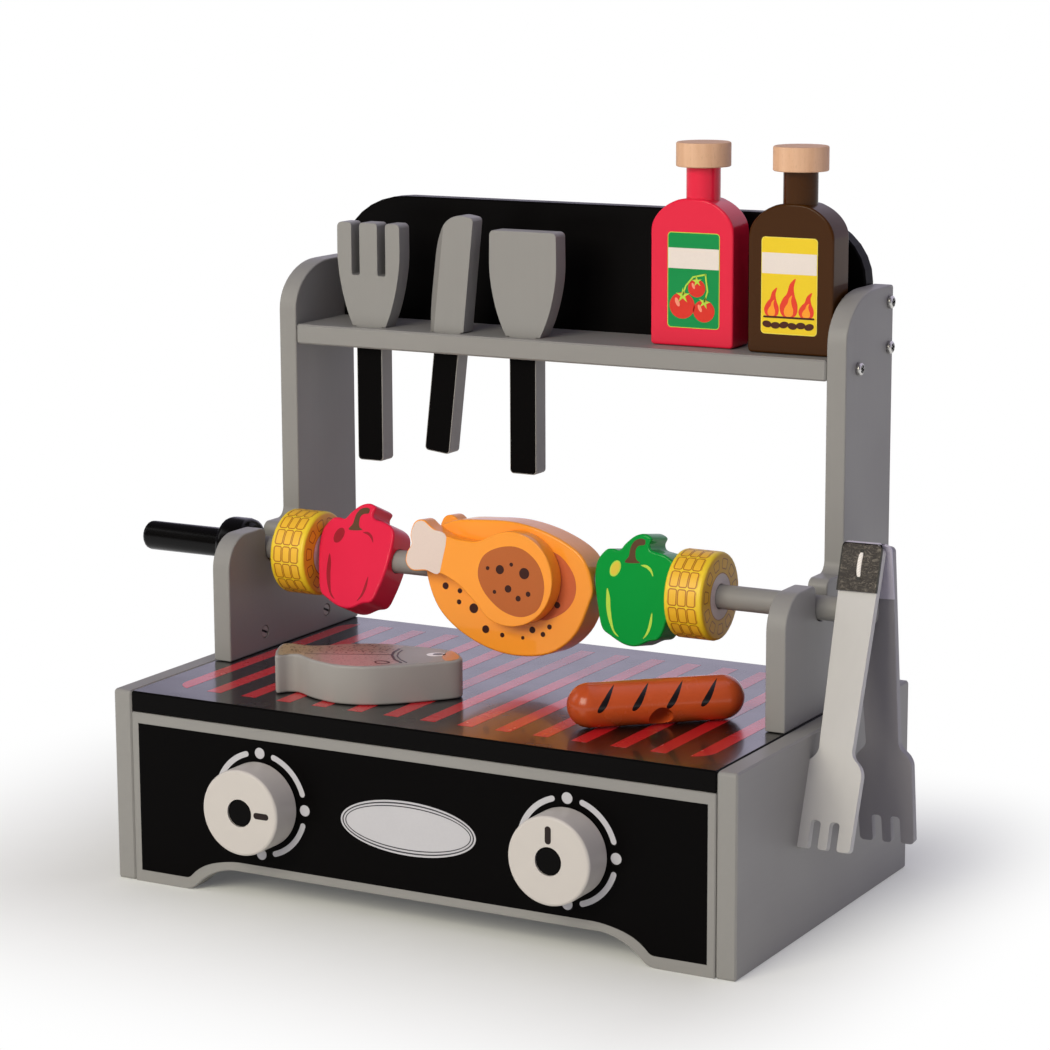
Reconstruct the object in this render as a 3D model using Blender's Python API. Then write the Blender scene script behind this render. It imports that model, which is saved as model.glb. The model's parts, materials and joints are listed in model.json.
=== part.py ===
"""Toy barbecue grill of painted boards, with its spit, food, utensils, sauce bottles and tongs.

Lengths are millimetres on the grill's own planes: X to the right from the middle of the table, Y back from the
front panel's face, and Z up from the floor. The empty "grill" carries every piece, and it stands so that the
world's origin is on the floor under the middle of the whole object.
"""
import math

import bmesh
import bpy
from mathutils import Matrix
from mathutils import Vector

MM = 0.001
GAP = 0.3

# Boards and table
BOARD = 12.0
ARRIS = 1.0
WIDTH = 400.0
SIDE_DEPTH = 236.0
BACK_PLANE = 231.0
TABLE_HEIGHT = 114.0
FOOT_INNER = 148.0
ARCH_INNER = 131.0
ARCH_HEIGHT = 15.5

# Uprights, shelf and back board
UPRIGHT_OUTER = 188.0
UPRIGHT_INNER = 176.0
UPRIGHT_TOP = 346.5
POST_FRONT = 164.0
CHEEK_FRONT = 86.0
CHEEK_TOP = 190.0
SHELF_UNDER = 298.0
SHELF_TOP = 310.0
BACK_BOARD_TOP = 385.5
SLOT_CLEARANCE = 1.0

# Fasteners
SCREW_HEAD_RADIUS = 3.7
SCREW_HEAD_HEIGHT = 2.4
SCREW_RADIUS = 1.8
SCREW_LENGTH = 32.0
SCREW_PLACES = ((225.0, 337.0), (225.0, 311.0), (181.0, 304.0))
BOLT_RADIUS = 2.0
BOLT_HEAD_RADIUS = 4.0
BOLT_HEAD_HEIGHT = 3.0
BOLT_TOP = 131.0
BARREL_RADIUS = 3.6
BARREL_HEIGHT = 125.7
BOLT_DEPTHS = (124.0, 194.0)

# Knobs
KNOB_X = 99.0
KNOB_HEIGHT = 58.0
KNOB_RADIUS = 25.0
KNOB_FRONT = 22.0
KNOB_ROUND = 3.5
PLUG_RADIUS = 7.75
PLUG_DEPTH = 4.0
KNOB_SCREW_RADIUS = 3.0
KNOB_SCREW_HEAD = 6.0

# Spit
SPIT_Y = 134.0
SPIT_HEIGHT = 176.0
ROD_RADIUS = 7.0
ROD_RIGHT = 220.0
HANDLE_LEFT = -268.0
HANDLE_RADIUS = 9.0
COLLAR_LEFT = -211.0
COLLAR_RIGHT = -189.0
COLLAR_RADIUS = 16.8
BORE_RADIUS = 7.4

# Food on the spit
CORN_RADIUS = 25.5
CORN_LENGTH = 24.0
CORN_LEFT_X = -162.0
CORN_RIGHT_X = 102.0
PEPPER_THICKNESS = 22.0
GREEN_SHIFT = 187.9
RED_PEPPER_TILT = -22.6
GREEN_PEPPER_TILT = -9.7
CHICKEN_THICKNESS = 22.0
DRUMSTICK_THICKNESS = 12.0
CHICKEN_TILT = -5.0

# Food on the table
FISH_THICKNESS = 23.0
SAUSAGE_CENTRE = (114.7, 75.4)
SAUSAGE_TURN = 42.65
SAUSAGE_LENGTH = 101.7
SAUSAGE_RADIUS = 12.6
SAUSAGE_BORE_SLOPE = -32.5

# Utensils on the shelf
UTENSIL_THICKNESS = 12.0
UTENSIL_FRONT = 172.5
UTENSIL_ARRIS = 1.2
HANDLE_WIDTH = 18.0
HANDLE_BOTTOM = 228.0
FORK_X = -128.8
SPATULA_X = -22.6
KNIFE_FRONT = 171.0
KNIFE_LEAN = 6.5
KNIFE_FOOT = (-62.1, 310.4)
KNIFE_HANDLE = 17.2
KNIFE_EDGE = 3.5

# Sauce bottles
BOTTLE_WIDTH = 50.5
BOTTLE_THICKNESS = 22.0
BOTTLE_SHOULDER = 69.5
BOTTLE_BODY_TOP = 85.5
NECK_RADIUS = 10.35
NECK_TOP = 101.4
CAP_RADIUS = 17.0
CAP_HEIGHT = 15.3
TENON_RADIUS = 5.0
TENON_HEIGHT = 8.0
RED_BOTTLE = (85.1, 191.0)
BROWN_BOTTLE = (149.3, 186.0)

# Tongs hung over the rod
TONGS_X = 212.9
TONGS_Y = 138.2
TONGS_TOP = 211.5
ARM_LENGTH = 171.0
ARM_THICKNESS = 5.0
FRONT_LEAN = -19.5
REAR_LEAN = 4.5
FRONT_ROLL = -1.6
REAR_ROLL = -2.4
REAR_SIDESTEP = 2.6
STRAP_WIDTH = 24.0
STRAP_THICKNESS = 1.3
STRAP_LENGTH = 27.0

# Origin of the whole object, on the grill's own planes
ORIGIN = Vector((-14.9, 107.0, 0.0))

PAINTS = {
    "grey_lacquer": ("8F8C88", 0.42, 0.0),
    "black_lacquer": ("0E0E10", 0.35, 0.0),
    "white_paint": ("D8CCC4", 0.4, 0.0),
    "zinc": ("B4B2AC", 0.32, 1.0),
    "corn_paint": ("F6C728", 0.45, 0.0),
    "red_paint": ("E8304A", 0.42, 0.0),
    "green_paint": ("009639", 0.42, 0.0),
    "orange_paint": ("FF9F3F", 0.45, 0.0),
    "fish_paint": ("8C8A86", 0.45, 0.0),
    "sausage_paint": ("C4501E", 0.2, 0.0),
    "brown_paint": ("4A2C1C", 0.38, 0.0),
    "beech": ("C9A07A", 0.55, 0.0),
    "leather": ("3A3733", 0.6, 0.0),
}


def clear_scene():
    """Removes every object that the scene starts with."""
    for item in list(bpy.data.objects):
        bpy.data.objects.remove(item)


def linear_colour(code):
    """Turns a six-digit screen colour into the linear values that a shader takes."""
    values = []
    for start in (0, 2, 4):
        value = int(code[start:start + 2], 16) / 255
        values.append(value / 12.92 if value <= 0.04045 else ((value + 0.055) / 1.055) ** 2.4)
    return (*values, 1.0)


def coated(name, paint):
    """Returns the piece's own paint."""
    code, roughness, metallic = PAINTS[paint]
    material = bpy.data.materials.new(name + "_" + paint)
    material.use_nodes = True
    shader = material.node_tree.nodes["Principled BSDF"]
    shader.inputs["Base Color"].default_value = linear_colour(code)
    shader.inputs["Roughness"].default_value = roughness
    shader.inputs["Metallic"].default_value = metallic
    return material


def arc(centre, radii, start, end, steps):
    """Points on an ellipse's arc, from one angle in degrees to another."""
    points = []
    for step in range(steps + 1):
        angle = math.radians(start + (end - start) * step / steps)
        points.append((centre[0] + radii[0] * math.cos(angle), centre[1] + radii[1] * math.sin(angle)))
    return points


def softened(corners, steps=5):
    """An outline from corners (u, v), (u, v, r) or (u, v, before, after), each rounded over those lengths."""
    outline = []
    for index, corner in enumerate(corners):
        point = Vector(corner[:2])
        if len(corner) == 2:
            outline.append(tuple(point))
            continue
        before = (Vector(corners[index - 1][:2]) - point).normalized() * corner[2]
        after = (Vector(corners[(index + 1) % len(corners)][:2]) - point).normalized() * corner[-1]
        for step in range(steps + 1):
            angle = math.pi / 2 * step / steps
            outline.append(tuple(point + before * (1 - math.sin(angle)) + after * (1 - math.cos(angle))))
    return outline


def mirrored(half):
    """Closes a right-hand half outline with its left-hand mirror image."""
    other = [(-corner[0], corner[1], *reversed(corner[2:])) for corner in reversed(half)]
    return half + other


def flowing(points, steps=3, closed=True):
    """A smooth curve through hand-placed points."""
    count = len(points)
    outline = []
    for index in range(count if closed else count - 1):
        around = []
        for offset in (-1, 0, 1, 2):
            place = (index + offset) % count if closed else min(max(index + offset, 0), count - 1)
            around.append(Vector(points[place]))
        before, start, end, after = around
        for step in range(steps):
            t = step / steps
            bend = (after - end * 3 + start * 3 - before) * t ** 3
            bend += (before * 2 - start * 5 + end * 4 - after) * t ** 2
            outline.append(tuple(start + ((end - before) * t + bend) / 2))
    if not closed:
        outline.append(tuple(points[-1]))
    return outline


def prism(outline, axis, low, high, holes=()):
    """A board's solid: an outline, less its holes, drawn across one axis and given a thickness along it."""
    place = {
        "X": lambda u, v: (low, u, v),
        "Y": lambda u, v: (u, low, v),
        "Z": lambda u, v: (u, v, low),
    }[axis]
    along = {"X": Vector((1, 0, 0)), "Y": Vector((0, 1, 0)), "Z": Vector((0, 0, 1))}[axis]
    shape = bmesh.new()
    edges = []
    for loop in (outline, *holes):
        corners = [shape.verts.new(place(*point)) for point in loop]
        for index, corner in enumerate(corners):
            edges.append(shape.edges.new((corners[index - 1], corner)))
    if holes:
        bmesh.ops.triangle_fill(shape, use_beauty=True, edges=edges)
    else:
        bmesh.ops.contextual_create(shape, geom=edges)
    grown = bmesh.ops.extrude_face_region(shape, geom=list(shape.faces))
    corners = [item for item in grown["geom"] if isinstance(item, bmesh.types.BMVert)]
    bmesh.ops.translate(shape, verts=corners, vec=along * (high - low))
    bmesh.ops.recalc_face_normals(shape, faces=list(shape.faces))
    return shape


def turned(profile, axis, sides=32):
    """A lathe-turned solid: (along, radius) points spun round an axis, closed where they leave it open."""
    across = {"X": Vector((0, 0, 1)), "Y": Vector((1, 0, 0)), "Z": Vector((1, 0, 0))}[axis]
    along = {"X": Vector((1, 0, 0)), "Y": Vector((0, 1, 0)), "Z": Vector((0, 0, 1))}[axis]
    shape = bmesh.new()
    points = [shape.verts.new(along * place + across * radius) for place, radius in profile]
    edges = [shape.edges.new(pair) for pair in zip(points, points[1:])]
    if profile[0][1] > 0:
        edges.append(shape.edges.new((points[-1], points[0])))
    bmesh.ops.spin(shape, geom=points + edges, cent=(0, 0, 0), axis=along, angle=math.tau, steps=sides,
                   use_merge=True)
    bmesh.ops.remove_doubles(shape, verts=list(shape.verts), dist=0.0001)
    bmesh.ops.recalc_face_normals(shape, faces=list(shape.faces))
    return shape


def moved(shape, offset):
    """Shifts a shape that is still being built."""
    bmesh.ops.translate(shape, verts=list(shape.verts), vec=offset)
    return shape


def joined(shapes):
    """Puts several closed shapes into one."""
    whole = bmesh.new()
    for shape in shapes:
        part = bpy.data.meshes.new("part")
        shape.to_mesh(part)
        shape.free()
        whole.from_mesh(part)
        bpy.data.meshes.remove(part)
    return whole


def placed(name, shape, at, lean=0.0, roll=0.0, turn=0.0):
    """Makes the object of a shape and hangs it on the grill's own planes."""
    bmesh.ops.scale(shape, vec=(MM, MM, MM), verts=list(shape.verts))
    mesh = bpy.data.meshes.new(name)
    shape.to_mesh(mesh)
    shape.free()
    piece = bpy.data.objects.new(name, mesh)
    bpy.context.collection.objects.link(piece)
    piece.parent = bpy.data.objects["grill"]
    piece.location = Vector(at) * MM
    piece.rotation_mode = "ZYX"
    piece.rotation_euler = (math.radians(lean), math.radians(roll), math.radians(turn))
    return piece


def piece(name, shape, paint, at=(0, 0, 0), arris=0.0, rounds=1, lean=0.0, roll=0.0, turn=0.0):
    """Adds a sub-part with its paint, and with its sharp edges sanded round."""
    item = placed(name, shape, at, lean, roll, turn)
    item.data.materials.append(coated(name, paint))
    item.data.shade_smooth()
    item.data.set_sharp_from_angle(angle=math.radians(35))
    if arris:
        bevel = item.modifiers.new("arris", "BEVEL")
        bevel.width = arris * MM
        bevel.segments = rounds
        bevel.limit_method = "ANGLE"
        bevel.angle_limit = math.radians(40)
        bevel.use_clamp_overlap = False
    return item


def cut(item, name, shape, at=(0, 0, 0), lean=0.0, roll=0.0, turn=0.0, keep=False):
    """Cuts a shape out of a piece, or keeps only what lies inside it."""
    cutter = placed(name, shape, at, lean, roll, turn)
    cutter.hide_render = True
    cutter.display_type = "WIRE"
    boolean = item.modifiers.new(name, "BOOLEAN")
    boolean.operation = "INTERSECT" if keep else "DIFFERENCE"
    boolean.object = cutter


def merge(item, name, shape, at=(0, 0, 0)):
    """Glues a shape to a piece as one body."""
    other = placed(name, shape, at)
    other.hide_render = True
    other.display_type = "WIRE"
    boolean = item.modifiers.new(name, "BOOLEAN")
    boolean.operation = "UNION"
    boolean.object = other


def rod(axis, low, high, radius, sides=8):
    """A plain round bar, for cutting holes and for shanks."""
    return turned([(low, 0), (low, radius), (high, radius), (high, 0)], axis, sides)


def build_table():
    """The open-bottomed table: two sides, front and back with feet, and the top."""
    side = softened([(0, 0, 1.5), (SIDE_DEPTH, 0, 1.5), (SIDE_DEPTH, TABLE_HEIGHT, 2), (0, TABLE_HEIGHT, 2)], 3)
    inner = WIDTH / 2 - BOARD
    piece("left_side_panel", prism(side, "X", -WIDTH / 2, -inner), "grey_lacquer", arris=ARRIS)
    piece("right_side_panel", prism(side, "X", inner, WIDTH / 2), "grey_lacquer", arris=ARRIS)

    edge = inner - GAP
    under_top = TABLE_HEIGHT - BOARD
    panel = softened(mirrored([
        (ARCH_INNER, ARCH_HEIGHT, 13),
        (FOOT_INNER, 0, 4),
        (edge, 0),
        (edge, under_top - GAP),
    ]))
    screw_holes = []
    for middle in (-KNOB_X, KNOB_X):
        radius = KNOB_SCREW_RADIUS + GAP
        screw_holes.append(arc((middle, KNOB_HEIGHT), (radius, radius), 0, 315, 7))
    piece("front_panel", prism(panel, "Y", 0, BOARD, screw_holes), "grey_lacquer", arris=0.6)
    piece("back_panel", prism(panel, "Y", BACK_PLANE - BOARD, BACK_PLANE), "grey_lacquer", arris=0.6)

    top = [(-edge, 0), (edge, 0), (edge, BACK_PLANE), (-edge, BACK_PLANE)]
    middle = (UPRIGHT_INNER + UPRIGHT_OUTER) / 2
    holes = []
    for across in (-middle, middle):
        for depth in BOLT_DEPTHS:
            holes.append(arc((across, depth), (BOLT_RADIUS + GAP, BOLT_RADIUS + GAP), 0, 315, 7))
    piece("grill_top", prism(top, "Z", under_top, TABLE_HEIGHT, holes), "black_lacquer", arris=0.8)


def upright_outline():
    """A side board: the cheek with the spit's notch, its hump, and the tall post with a rounded shoulder."""
    notch_front = SPIT_Y - 7.5
    notch_back = SPIT_Y + 7.5
    notch_bottom = SPIT_HEIGHT - 7.5
    bottom = TABLE_HEIGHT + GAP
    return softened([
        (CHEEK_FRONT, bottom),
        (CHEEK_FRONT, CHEEK_TOP, 20),
        (notch_front, CHEEK_TOP, 4),
        (notch_front, notch_bottom, 7.5),
        (notch_back, notch_bottom, 7.5),
        (notch_back, CHEEK_TOP, 5),
        (POST_FRONT, CHEEK_TOP, 6.5),
        (POST_FRONT, UPRIGHT_TOP, 28, 40),
        (BACK_PLANE, UPRIGHT_TOP, 2),
        (BACK_PLANE, bottom),
    ], 3)


def build_uprights():
    """The two side boards, bored for their screws, bolts and barrel nuts."""
    for side, name in ((-1, "left_upright"), (1, "right_upright")):
        low, high = sorted((side * UPRIGHT_INNER, side * UPRIGHT_OUTER))
        board = piece(name, prism(upright_outline(), "X", low, high), "grey_lacquer", arris=ARRIS)
        screws = [moved(rod("X", low - 3, high + 3, SCREW_RADIUS + GAP), (0, *place)) for place in SCREW_PLACES]
        cut(board, name + "_screw_holes", joined(screws))
        middle = side * (UPRIGHT_INNER + UPRIGHT_OUTER) / 2
        bolts = []
        barrels = []
        for depth in BOLT_DEPTHS:
            shaft = rod("Z", TABLE_HEIGHT - 3, BOLT_TOP + 1, BOLT_RADIUS + GAP)
            bolts.append(moved(shaft, (middle, depth, 0)))
            open_end, blind_end = side * (UPRIGHT_INNER - 3), side * (UPRIGHT_OUTER - 1.5)
            barrel = rod("X", min(open_end, blind_end), max(open_end, blind_end), BARREL_RADIUS + GAP * 1.5, 8)
            barrels.append(moved(barrel, (0, depth, BARREL_HEIGHT)))
        cut(board, name + "_bolt_holes", joined(bolts))
        cut(board, name + "_barrel_holes", joined(barrels))


def build_fasteners():
    """Pan-head screws through the posts, and bolts with barrel nuts that hold the side boards down."""
    face = UPRIGHT_OUTER + GAP
    screw = [(UPRIGHT_OUTER - SCREW_LENGTH, 0), (UPRIGHT_OUTER - SCREW_LENGTH + 2, SCREW_RADIUS)]
    screw += [(face, SCREW_RADIUS), (face, SCREW_HEAD_RADIUS)]
    screw += arc((face + 0.6, 0), (SCREW_HEAD_HEIGHT - 0.6, SCREW_HEAD_RADIUS), 90, 30, 2)
    screw += [(face + SCREW_HEAD_HEIGHT, 0)]
    middle = (UPRIGHT_INNER + UPRIGHT_OUTER) / 2
    under_top = TABLE_HEIGHT - BOARD - GAP
    bolt = [(under_top - BOLT_HEAD_HEIGHT, 0), (under_top - BOLT_HEAD_HEIGHT, BOLT_HEAD_RADIUS),
            (under_top, BOLT_HEAD_RADIUS), (under_top, BOLT_RADIUS), (BOLT_TOP, BOLT_RADIUS), (BOLT_TOP, 0)]
    for side, name in ((-1, "left"), (1, "right")):
        shaft = [(side * along, radius) for along, radius in screw]
        for place, spot in zip(SCREW_PLACES, ("top", "back", "front")):
            shape = moved(turned(shaft, "X", 8), (0, *place))
            piece(name + "_post_screw_" + spot, shape, "zinc")
        for depth, spot in zip(BOLT_DEPTHS, ("front", "back")):
            at = (side * middle, depth, 0)
            piece(name + "_cheek_bolt_" + spot, turned(bolt, "Z", 8), "zinc", at)
            ends = sorted((-UPRIGHT_INNER + middle - GAP, -UPRIGHT_OUTER + middle + 1.5 + GAP))
            if side > 0:
                ends = [-ends[1], -ends[0]]
            nut = piece(name + "_barrel_nut_" + spot, rod("X", *ends, BARREL_RADIUS, 8), "zinc",
                        (at[0], depth, BARREL_HEIGHT))
            cut(nut, nut.name + "_hole", rod("Z", -6, 6, BOLT_RADIUS + GAP), (at[0], depth, BARREL_HEIGHT))


def screw_pilots(places):
    """Pilot holes for the post screws in the two ends of a board."""
    pilots = []
    for side in (-1, 1):
        ends = sorted((side * (UPRIGHT_INNER + 3), side * (UPRIGHT_OUTER - SCREW_LENGTH - 1)))
        for place in places:
            pilots.append(moved(rod("X", *ends, SCREW_RADIUS + GAP), (0, *place)))
    return joined(pilots)


def knife_edge_x(height):
    """Where the leaning knife's back edge is at a height."""
    return KNIFE_FOOT[0] + (height - KNIFE_FOOT[1]) * math.tan(math.radians(KNIFE_LEAN))


def build_shelf():
    """The shelf with its three utensil slots, and the black board behind it."""
    edge = UPRIGHT_INNER - GAP
    back = BACK_PLANE - BOARD - GAP
    half = (HANDLE_WIDTH + SLOT_CLEARANCE) / 2
    knife_right = knife_edge_x(SHELF_TOP) - 1.2
    knife_left = knife_edge_x(SHELF_UNDER) - KNIFE_HANDLE - 3.0
    slots = []
    for left, right, front in (
        (FORK_X - half, FORK_X + half, UTENSIL_FRONT),
        (knife_left, knife_right, KNIFE_FRONT),
        (SPATULA_X - half, SPATULA_X + half, UTENSIL_FRONT),
    ):
        near, far = front - 0.6, front + UTENSIL_THICKNESS + 0.6
        slots.append(softened([(left, near, 1), (right, near, 1), (right, far, 1), (left, far, 1)], 1))
    outline = [(-edge, POST_FRONT), (edge, POST_FRONT), (edge, back), (-edge, back)]
    shelf = piece("shelf", prism(outline, "Z", SHELF_UNDER, SHELF_TOP, slots), "grey_lacquer", arris=ARRIS)
    cut(shelf, "shelf_screw_holes", screw_pilots(SCREW_PLACES[2:]))

    outline = softened(mirrored([(edge, SHELF_UNDER), (edge, BACK_BOARD_TOP, 38, 46)]), 8)
    board = piece("back_board", prism(outline, "Y", BACK_PLANE - BOARD, BACK_PLANE), "black_lacquer", arris=ARRIS)
    cut(board, "back_board_screw_holes", screw_pilots(SCREW_PLACES[:2]))


def build_knobs():
    """Two turning knobs, each on its own screw under a black plug, with a nut behind the panel."""
    seat = KNOB_FRONT - PLUG_DEPTH - GAP
    head_depth = 3.0
    knob = [(-0.5, KNOB_SCREW_RADIUS + GAP), (-0.5, KNOB_RADIUS - 1.2), (-1.7, KNOB_RADIUS)]
    knob += arc((-KNOB_FRONT + KNOB_ROUND, KNOB_RADIUS - KNOB_ROUND), (-KNOB_ROUND, KNOB_ROUND), 90, 0, 3)
    knob += [(-KNOB_FRONT, PLUG_RADIUS + GAP), (-seat, PLUG_RADIUS + GAP), (-seat, KNOB_SCREW_HEAD + GAP),
             (-seat + head_depth + 2 * GAP, KNOB_SCREW_HEAD + GAP),
             (-seat + head_depth + 2 * GAP, KNOB_SCREW_RADIUS + GAP)]
    plug = [(-seat - GAP, 0), (-seat - GAP, PLUG_RADIUS), (-KNOB_FRONT + 0.8, PLUG_RADIUS),
            (-KNOB_FRONT + 0.3, PLUG_RADIUS - 0.5), (-KNOB_FRONT + 0.3, 0)]
    screw = [(-seat + GAP, 0), (-seat + GAP, KNOB_SCREW_HEAD), (-seat + head_depth + GAP, KNOB_SCREW_HEAD),
             (-seat + head_depth + GAP, KNOB_SCREW_RADIUS), (BOARD + 6, KNOB_SCREW_RADIUS), (BOARD + 6, 0)]
    nut = [(BOARD + GAP, KNOB_SCREW_RADIUS + GAP), (BOARD + GAP, 5.5), (BOARD + 4.3, 5.5),
           (BOARD + 4.3, KNOB_SCREW_RADIUS + GAP)]
    for middle, side in ((-KNOB_X, "left"), (KNOB_X, "right")):
        at = (middle, 0, KNOB_HEIGHT)
        piece(side + "_knob", turned(knob, "Y", 28), "white_paint", at)
        piece(side + "_knob_plug", turned(plug, "Y", 16), "black_lacquer", at)
        piece(side + "_knob_screw", turned(screw, "Y", 8), "zinc", at)
        piece(side + "_knob_nut", turned(nut, "Y", 8), "zinc", at)


def build_spit():
    """The rod in its notches, with the turned bead and the grip on its left end."""
    at = (0, SPIT_Y, SPIT_HEIGHT)
    bar = [(COLLAR_LEFT - 22, 0), (COLLAR_LEFT - 22, ROD_RADIUS), (ROD_RIGHT - 1, ROD_RADIUS),
           (ROD_RIGHT, ROD_RADIUS - 1), (ROD_RIGHT, 0)]
    piece("spit_rod", turned(bar, "X", 20), "grey_lacquer", at)
    collar = [(COLLAR_LEFT + GAP, BORE_RADIUS)]
    collar += arc((COLLAR_LEFT + 6.5, COLLAR_RADIUS - 7), (6.2, 7), 180, 90, 3)
    collar += arc((COLLAR_RIGHT - 5, COLLAR_RADIUS - 5), (5, 5), 90, 0, 3)
    collar += [(COLLAR_RIGHT, BORE_RADIUS)]
    piece("spit_collar", turned(collar, "X", 24), "black_lacquer", at)
    grip = [(HANDLE_LEFT, 0)]
    grip += arc((HANDLE_LEFT + 3.5, HANDLE_RADIUS - 3.5), (3.5, 3.5), 180, 90, 3)
    grip += [(COLLAR_LEFT, HANDLE_RADIUS), (COLLAR_LEFT, BORE_RADIUS), (COLLAR_LEFT - 23, BORE_RADIUS),
             (COLLAR_LEFT - 23, 0)]
    piece("spit_handle", turned(grip, "X", 20), "black_lacquer", at)


def spit_bore(item, name, at, tilt, low, high):
    """Drills a piece of food for the rod."""
    cut(item, name + "_bore", rod("X", low, high, BORE_RADIUS, 24), at, tilt)


def build_corn():
    """Two thick round slices of a corn cob."""
    edge = 2.0
    half = CORN_LENGTH / 2
    slice_profile = [(-half, BORE_RADIUS)]
    slice_profile += arc((-half + edge, CORN_RADIUS - edge), (edge, edge), 180, 90, 2)
    slice_profile += arc((half - edge, CORN_RADIUS - edge), (edge, edge), 90, 0, 2)
    slice_profile += [(half, BORE_RADIUS)]
    for name, left in (("corn_left", CORN_LEFT_X), ("corn_right", CORN_RIGHT_X)):
        piece(name, turned(slice_profile, "X", 36), "corn_paint", (left + half, SPIT_Y, SPIT_HEIGHT))


def pepper_outline():
    """A bell pepper's slab: shoulders, the bent stem's bump on top, and two lobes below."""
    return flowing([
        (-122.7, 21.0), (-119.0, 25.3), (-113.5, 29.9), (-107.6, 31.5), (-102.8, 29.4), (-103.8, 25.4),
        (-101.8, 22.3), (-94.0, 20.7), (-88.2, 17.0), (-86.4, 10.0), (-87.3, -5.9), (-90.3, -19.5),
        (-93.6, -27.3), (-100.0, -29.4), (-107.5, -32.9), (-115.5, -32.5), (-124.5, -28.4), (-130.2, -24.3),
        (-133.7, -13.3), (-136.8, 1.0), (-136.7, 12.5), (-131.8, 20.0), (-127.3, 21.3),
    ], 2)


def build_peppers():
    """A red and a green bell pepper, the same slab in two colours."""
    half = PEPPER_THICKNESS / 2
    at = (0, SPIT_Y, SPIT_HEIGHT)
    red = piece("red_pepper", prism(pepper_outline(), "Y", -half, half), "red_paint", at, 1.5,
                lean=RED_PEPPER_TILT)
    spit_bore(red, "red_pepper", at, RED_PEPPER_TILT, -142, -80)
    shifted = [(across + GREEN_SHIFT, up) for across, up in pepper_outline()]
    green = piece("green_pepper", prism(shifted, "Y", -half, half), "green_paint", at, 1.5,
                  lean=GREEN_PEPPER_TILT)
    spit_bore(green, "green_pepper", at, GREEN_PEPPER_TILT, 44, 108)


def build_chicken():
    """The roast chicken: an oval slab with a drumstick glued to each face."""
    half = CHICKEN_THICKNESS / 2
    at = (0, SPIT_Y, SPIT_HEIGHT)
    body = flowing([
        (-60.6, -4.2), (-52.3, -22.6), (-37.1, -35.5), (-15.9, -44.2), (5.0, -46.2), (25.1, -42.0),
        (39.7, -30.0), (47.5, -12.6), (49.6, -0.5), (41.7, 16.2), (22.0, 26.6), (-2.3, 31.8),
        (-26.6, 31.3), (-43.1, 29.4), (-54.6, 23.6), (-60.8, 11.0),
    ])
    bird = piece("chicken_body", prism(body, "Y", -half, half), "orange_paint", at, 1.5, lean=CHICKEN_TILT)
    spit_bore(bird, "chicken", at, CHICKEN_TILT, -66, 56)

    neck = [(-20.5, -15.6), (-32.3, -6.1), (-44.4, -1.0), (-54.4, -0.3), (-63.5, -0.9), (-68.1, 3.5),
            (-67.4, 9.8), (-64.6, 14.5), (-65.5, 20.5), (-62.8, 27.8), (-57.0, 29.5), (-50.7, 25.4),
            (-41.0, 21.3), (-30.0, 19.7), (-19.5, 20.3)]
    leg = flowing(neck, 2, closed=False)
    leg += arc((2.0, 0.0), (27.8, 27.6), 116, -136, 18)
    inner, outer = half + GAP, half + DRUMSTICK_THICKNESS
    for name, low, high in (
        ("chicken_drumstick_front", -outer, -inner),
        ("chicken_drumstick_back", inner, outer),
    ):
        piece(name, prism(leg, "Y", low, high), "orange_paint", at, 1.2, lean=CHICKEN_TILT)


def build_table_food():
    """A flat fish and a round-ended sausage lying on the table."""
    low = TABLE_HEIGHT + GAP
    fish = flowing([
        (-108.4, 33.2), (-113.5, 39.8), (-118.6, 49.5), (-122.2, 60.5), (-116.5, 64.5), (-106.0, 64.5),
        (-97.6, 69.0), (-86.0, 79.8), (-72.0, 87.7), (-52.0, 91.1), (-38.0, 92.9), (-24.0, 91.2),
        (-13.5, 82.0), (-9.8, 73.2), (-18.8, 60.5), (-33.0, 44.8), (-48.0, 33.2), (-66.0, 28.7),
        (-84.0, 33.0), (-97.5, 40.0), (-103.8, 38.7),
    ], 2)
    piece("fish", prism(fish, "Z", 0, FISH_THICKNESS - GAP), "fish_paint", (0, 0, low), 1.5)

    half = SAUSAGE_LENGTH / 2
    radius = SAUSAGE_RADIUS
    body = arc((-half + radius, 0), (radius, radius), 180, 90, 5)
    body += arc((half - radius, 0), (radius, radius), 90, 0, 5)
    body[0] = (-half, 0)
    body[-1] = (half, 0)
    at = (*SAUSAGE_CENTRE, low + radius)
    sausage = piece("sausage", turned(body, "X", 18), "sausage_paint", at, turn=SAUSAGE_TURN)
    drill = rod("Y", -radius * 1.6, radius * 1.6, ROD_RADIUS, 16)
    bmesh.ops.rotate(drill, verts=list(drill.verts), cent=(0, 0, 0),
                     matrix=Matrix.Rotation(math.radians(-SAUSAGE_BORE_SLOPE), 3, "X"))
    cut(sausage, "sausage_bore", drill, at, turn=SAUSAGE_TURN)


def head_and_handle(middle, head):
    """A utensil that is the same on both sides of its middle: half a head's corners above the shared handle."""
    half = HANDLE_WIDTH / 2
    right = [(half, HANDLE_BOTTOM, 2.5), (half, SHELF_TOP + GAP)] + head
    outline = softened(mirrored(right), 4)
    return [(middle + across, height) for across, height in outline]


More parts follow.
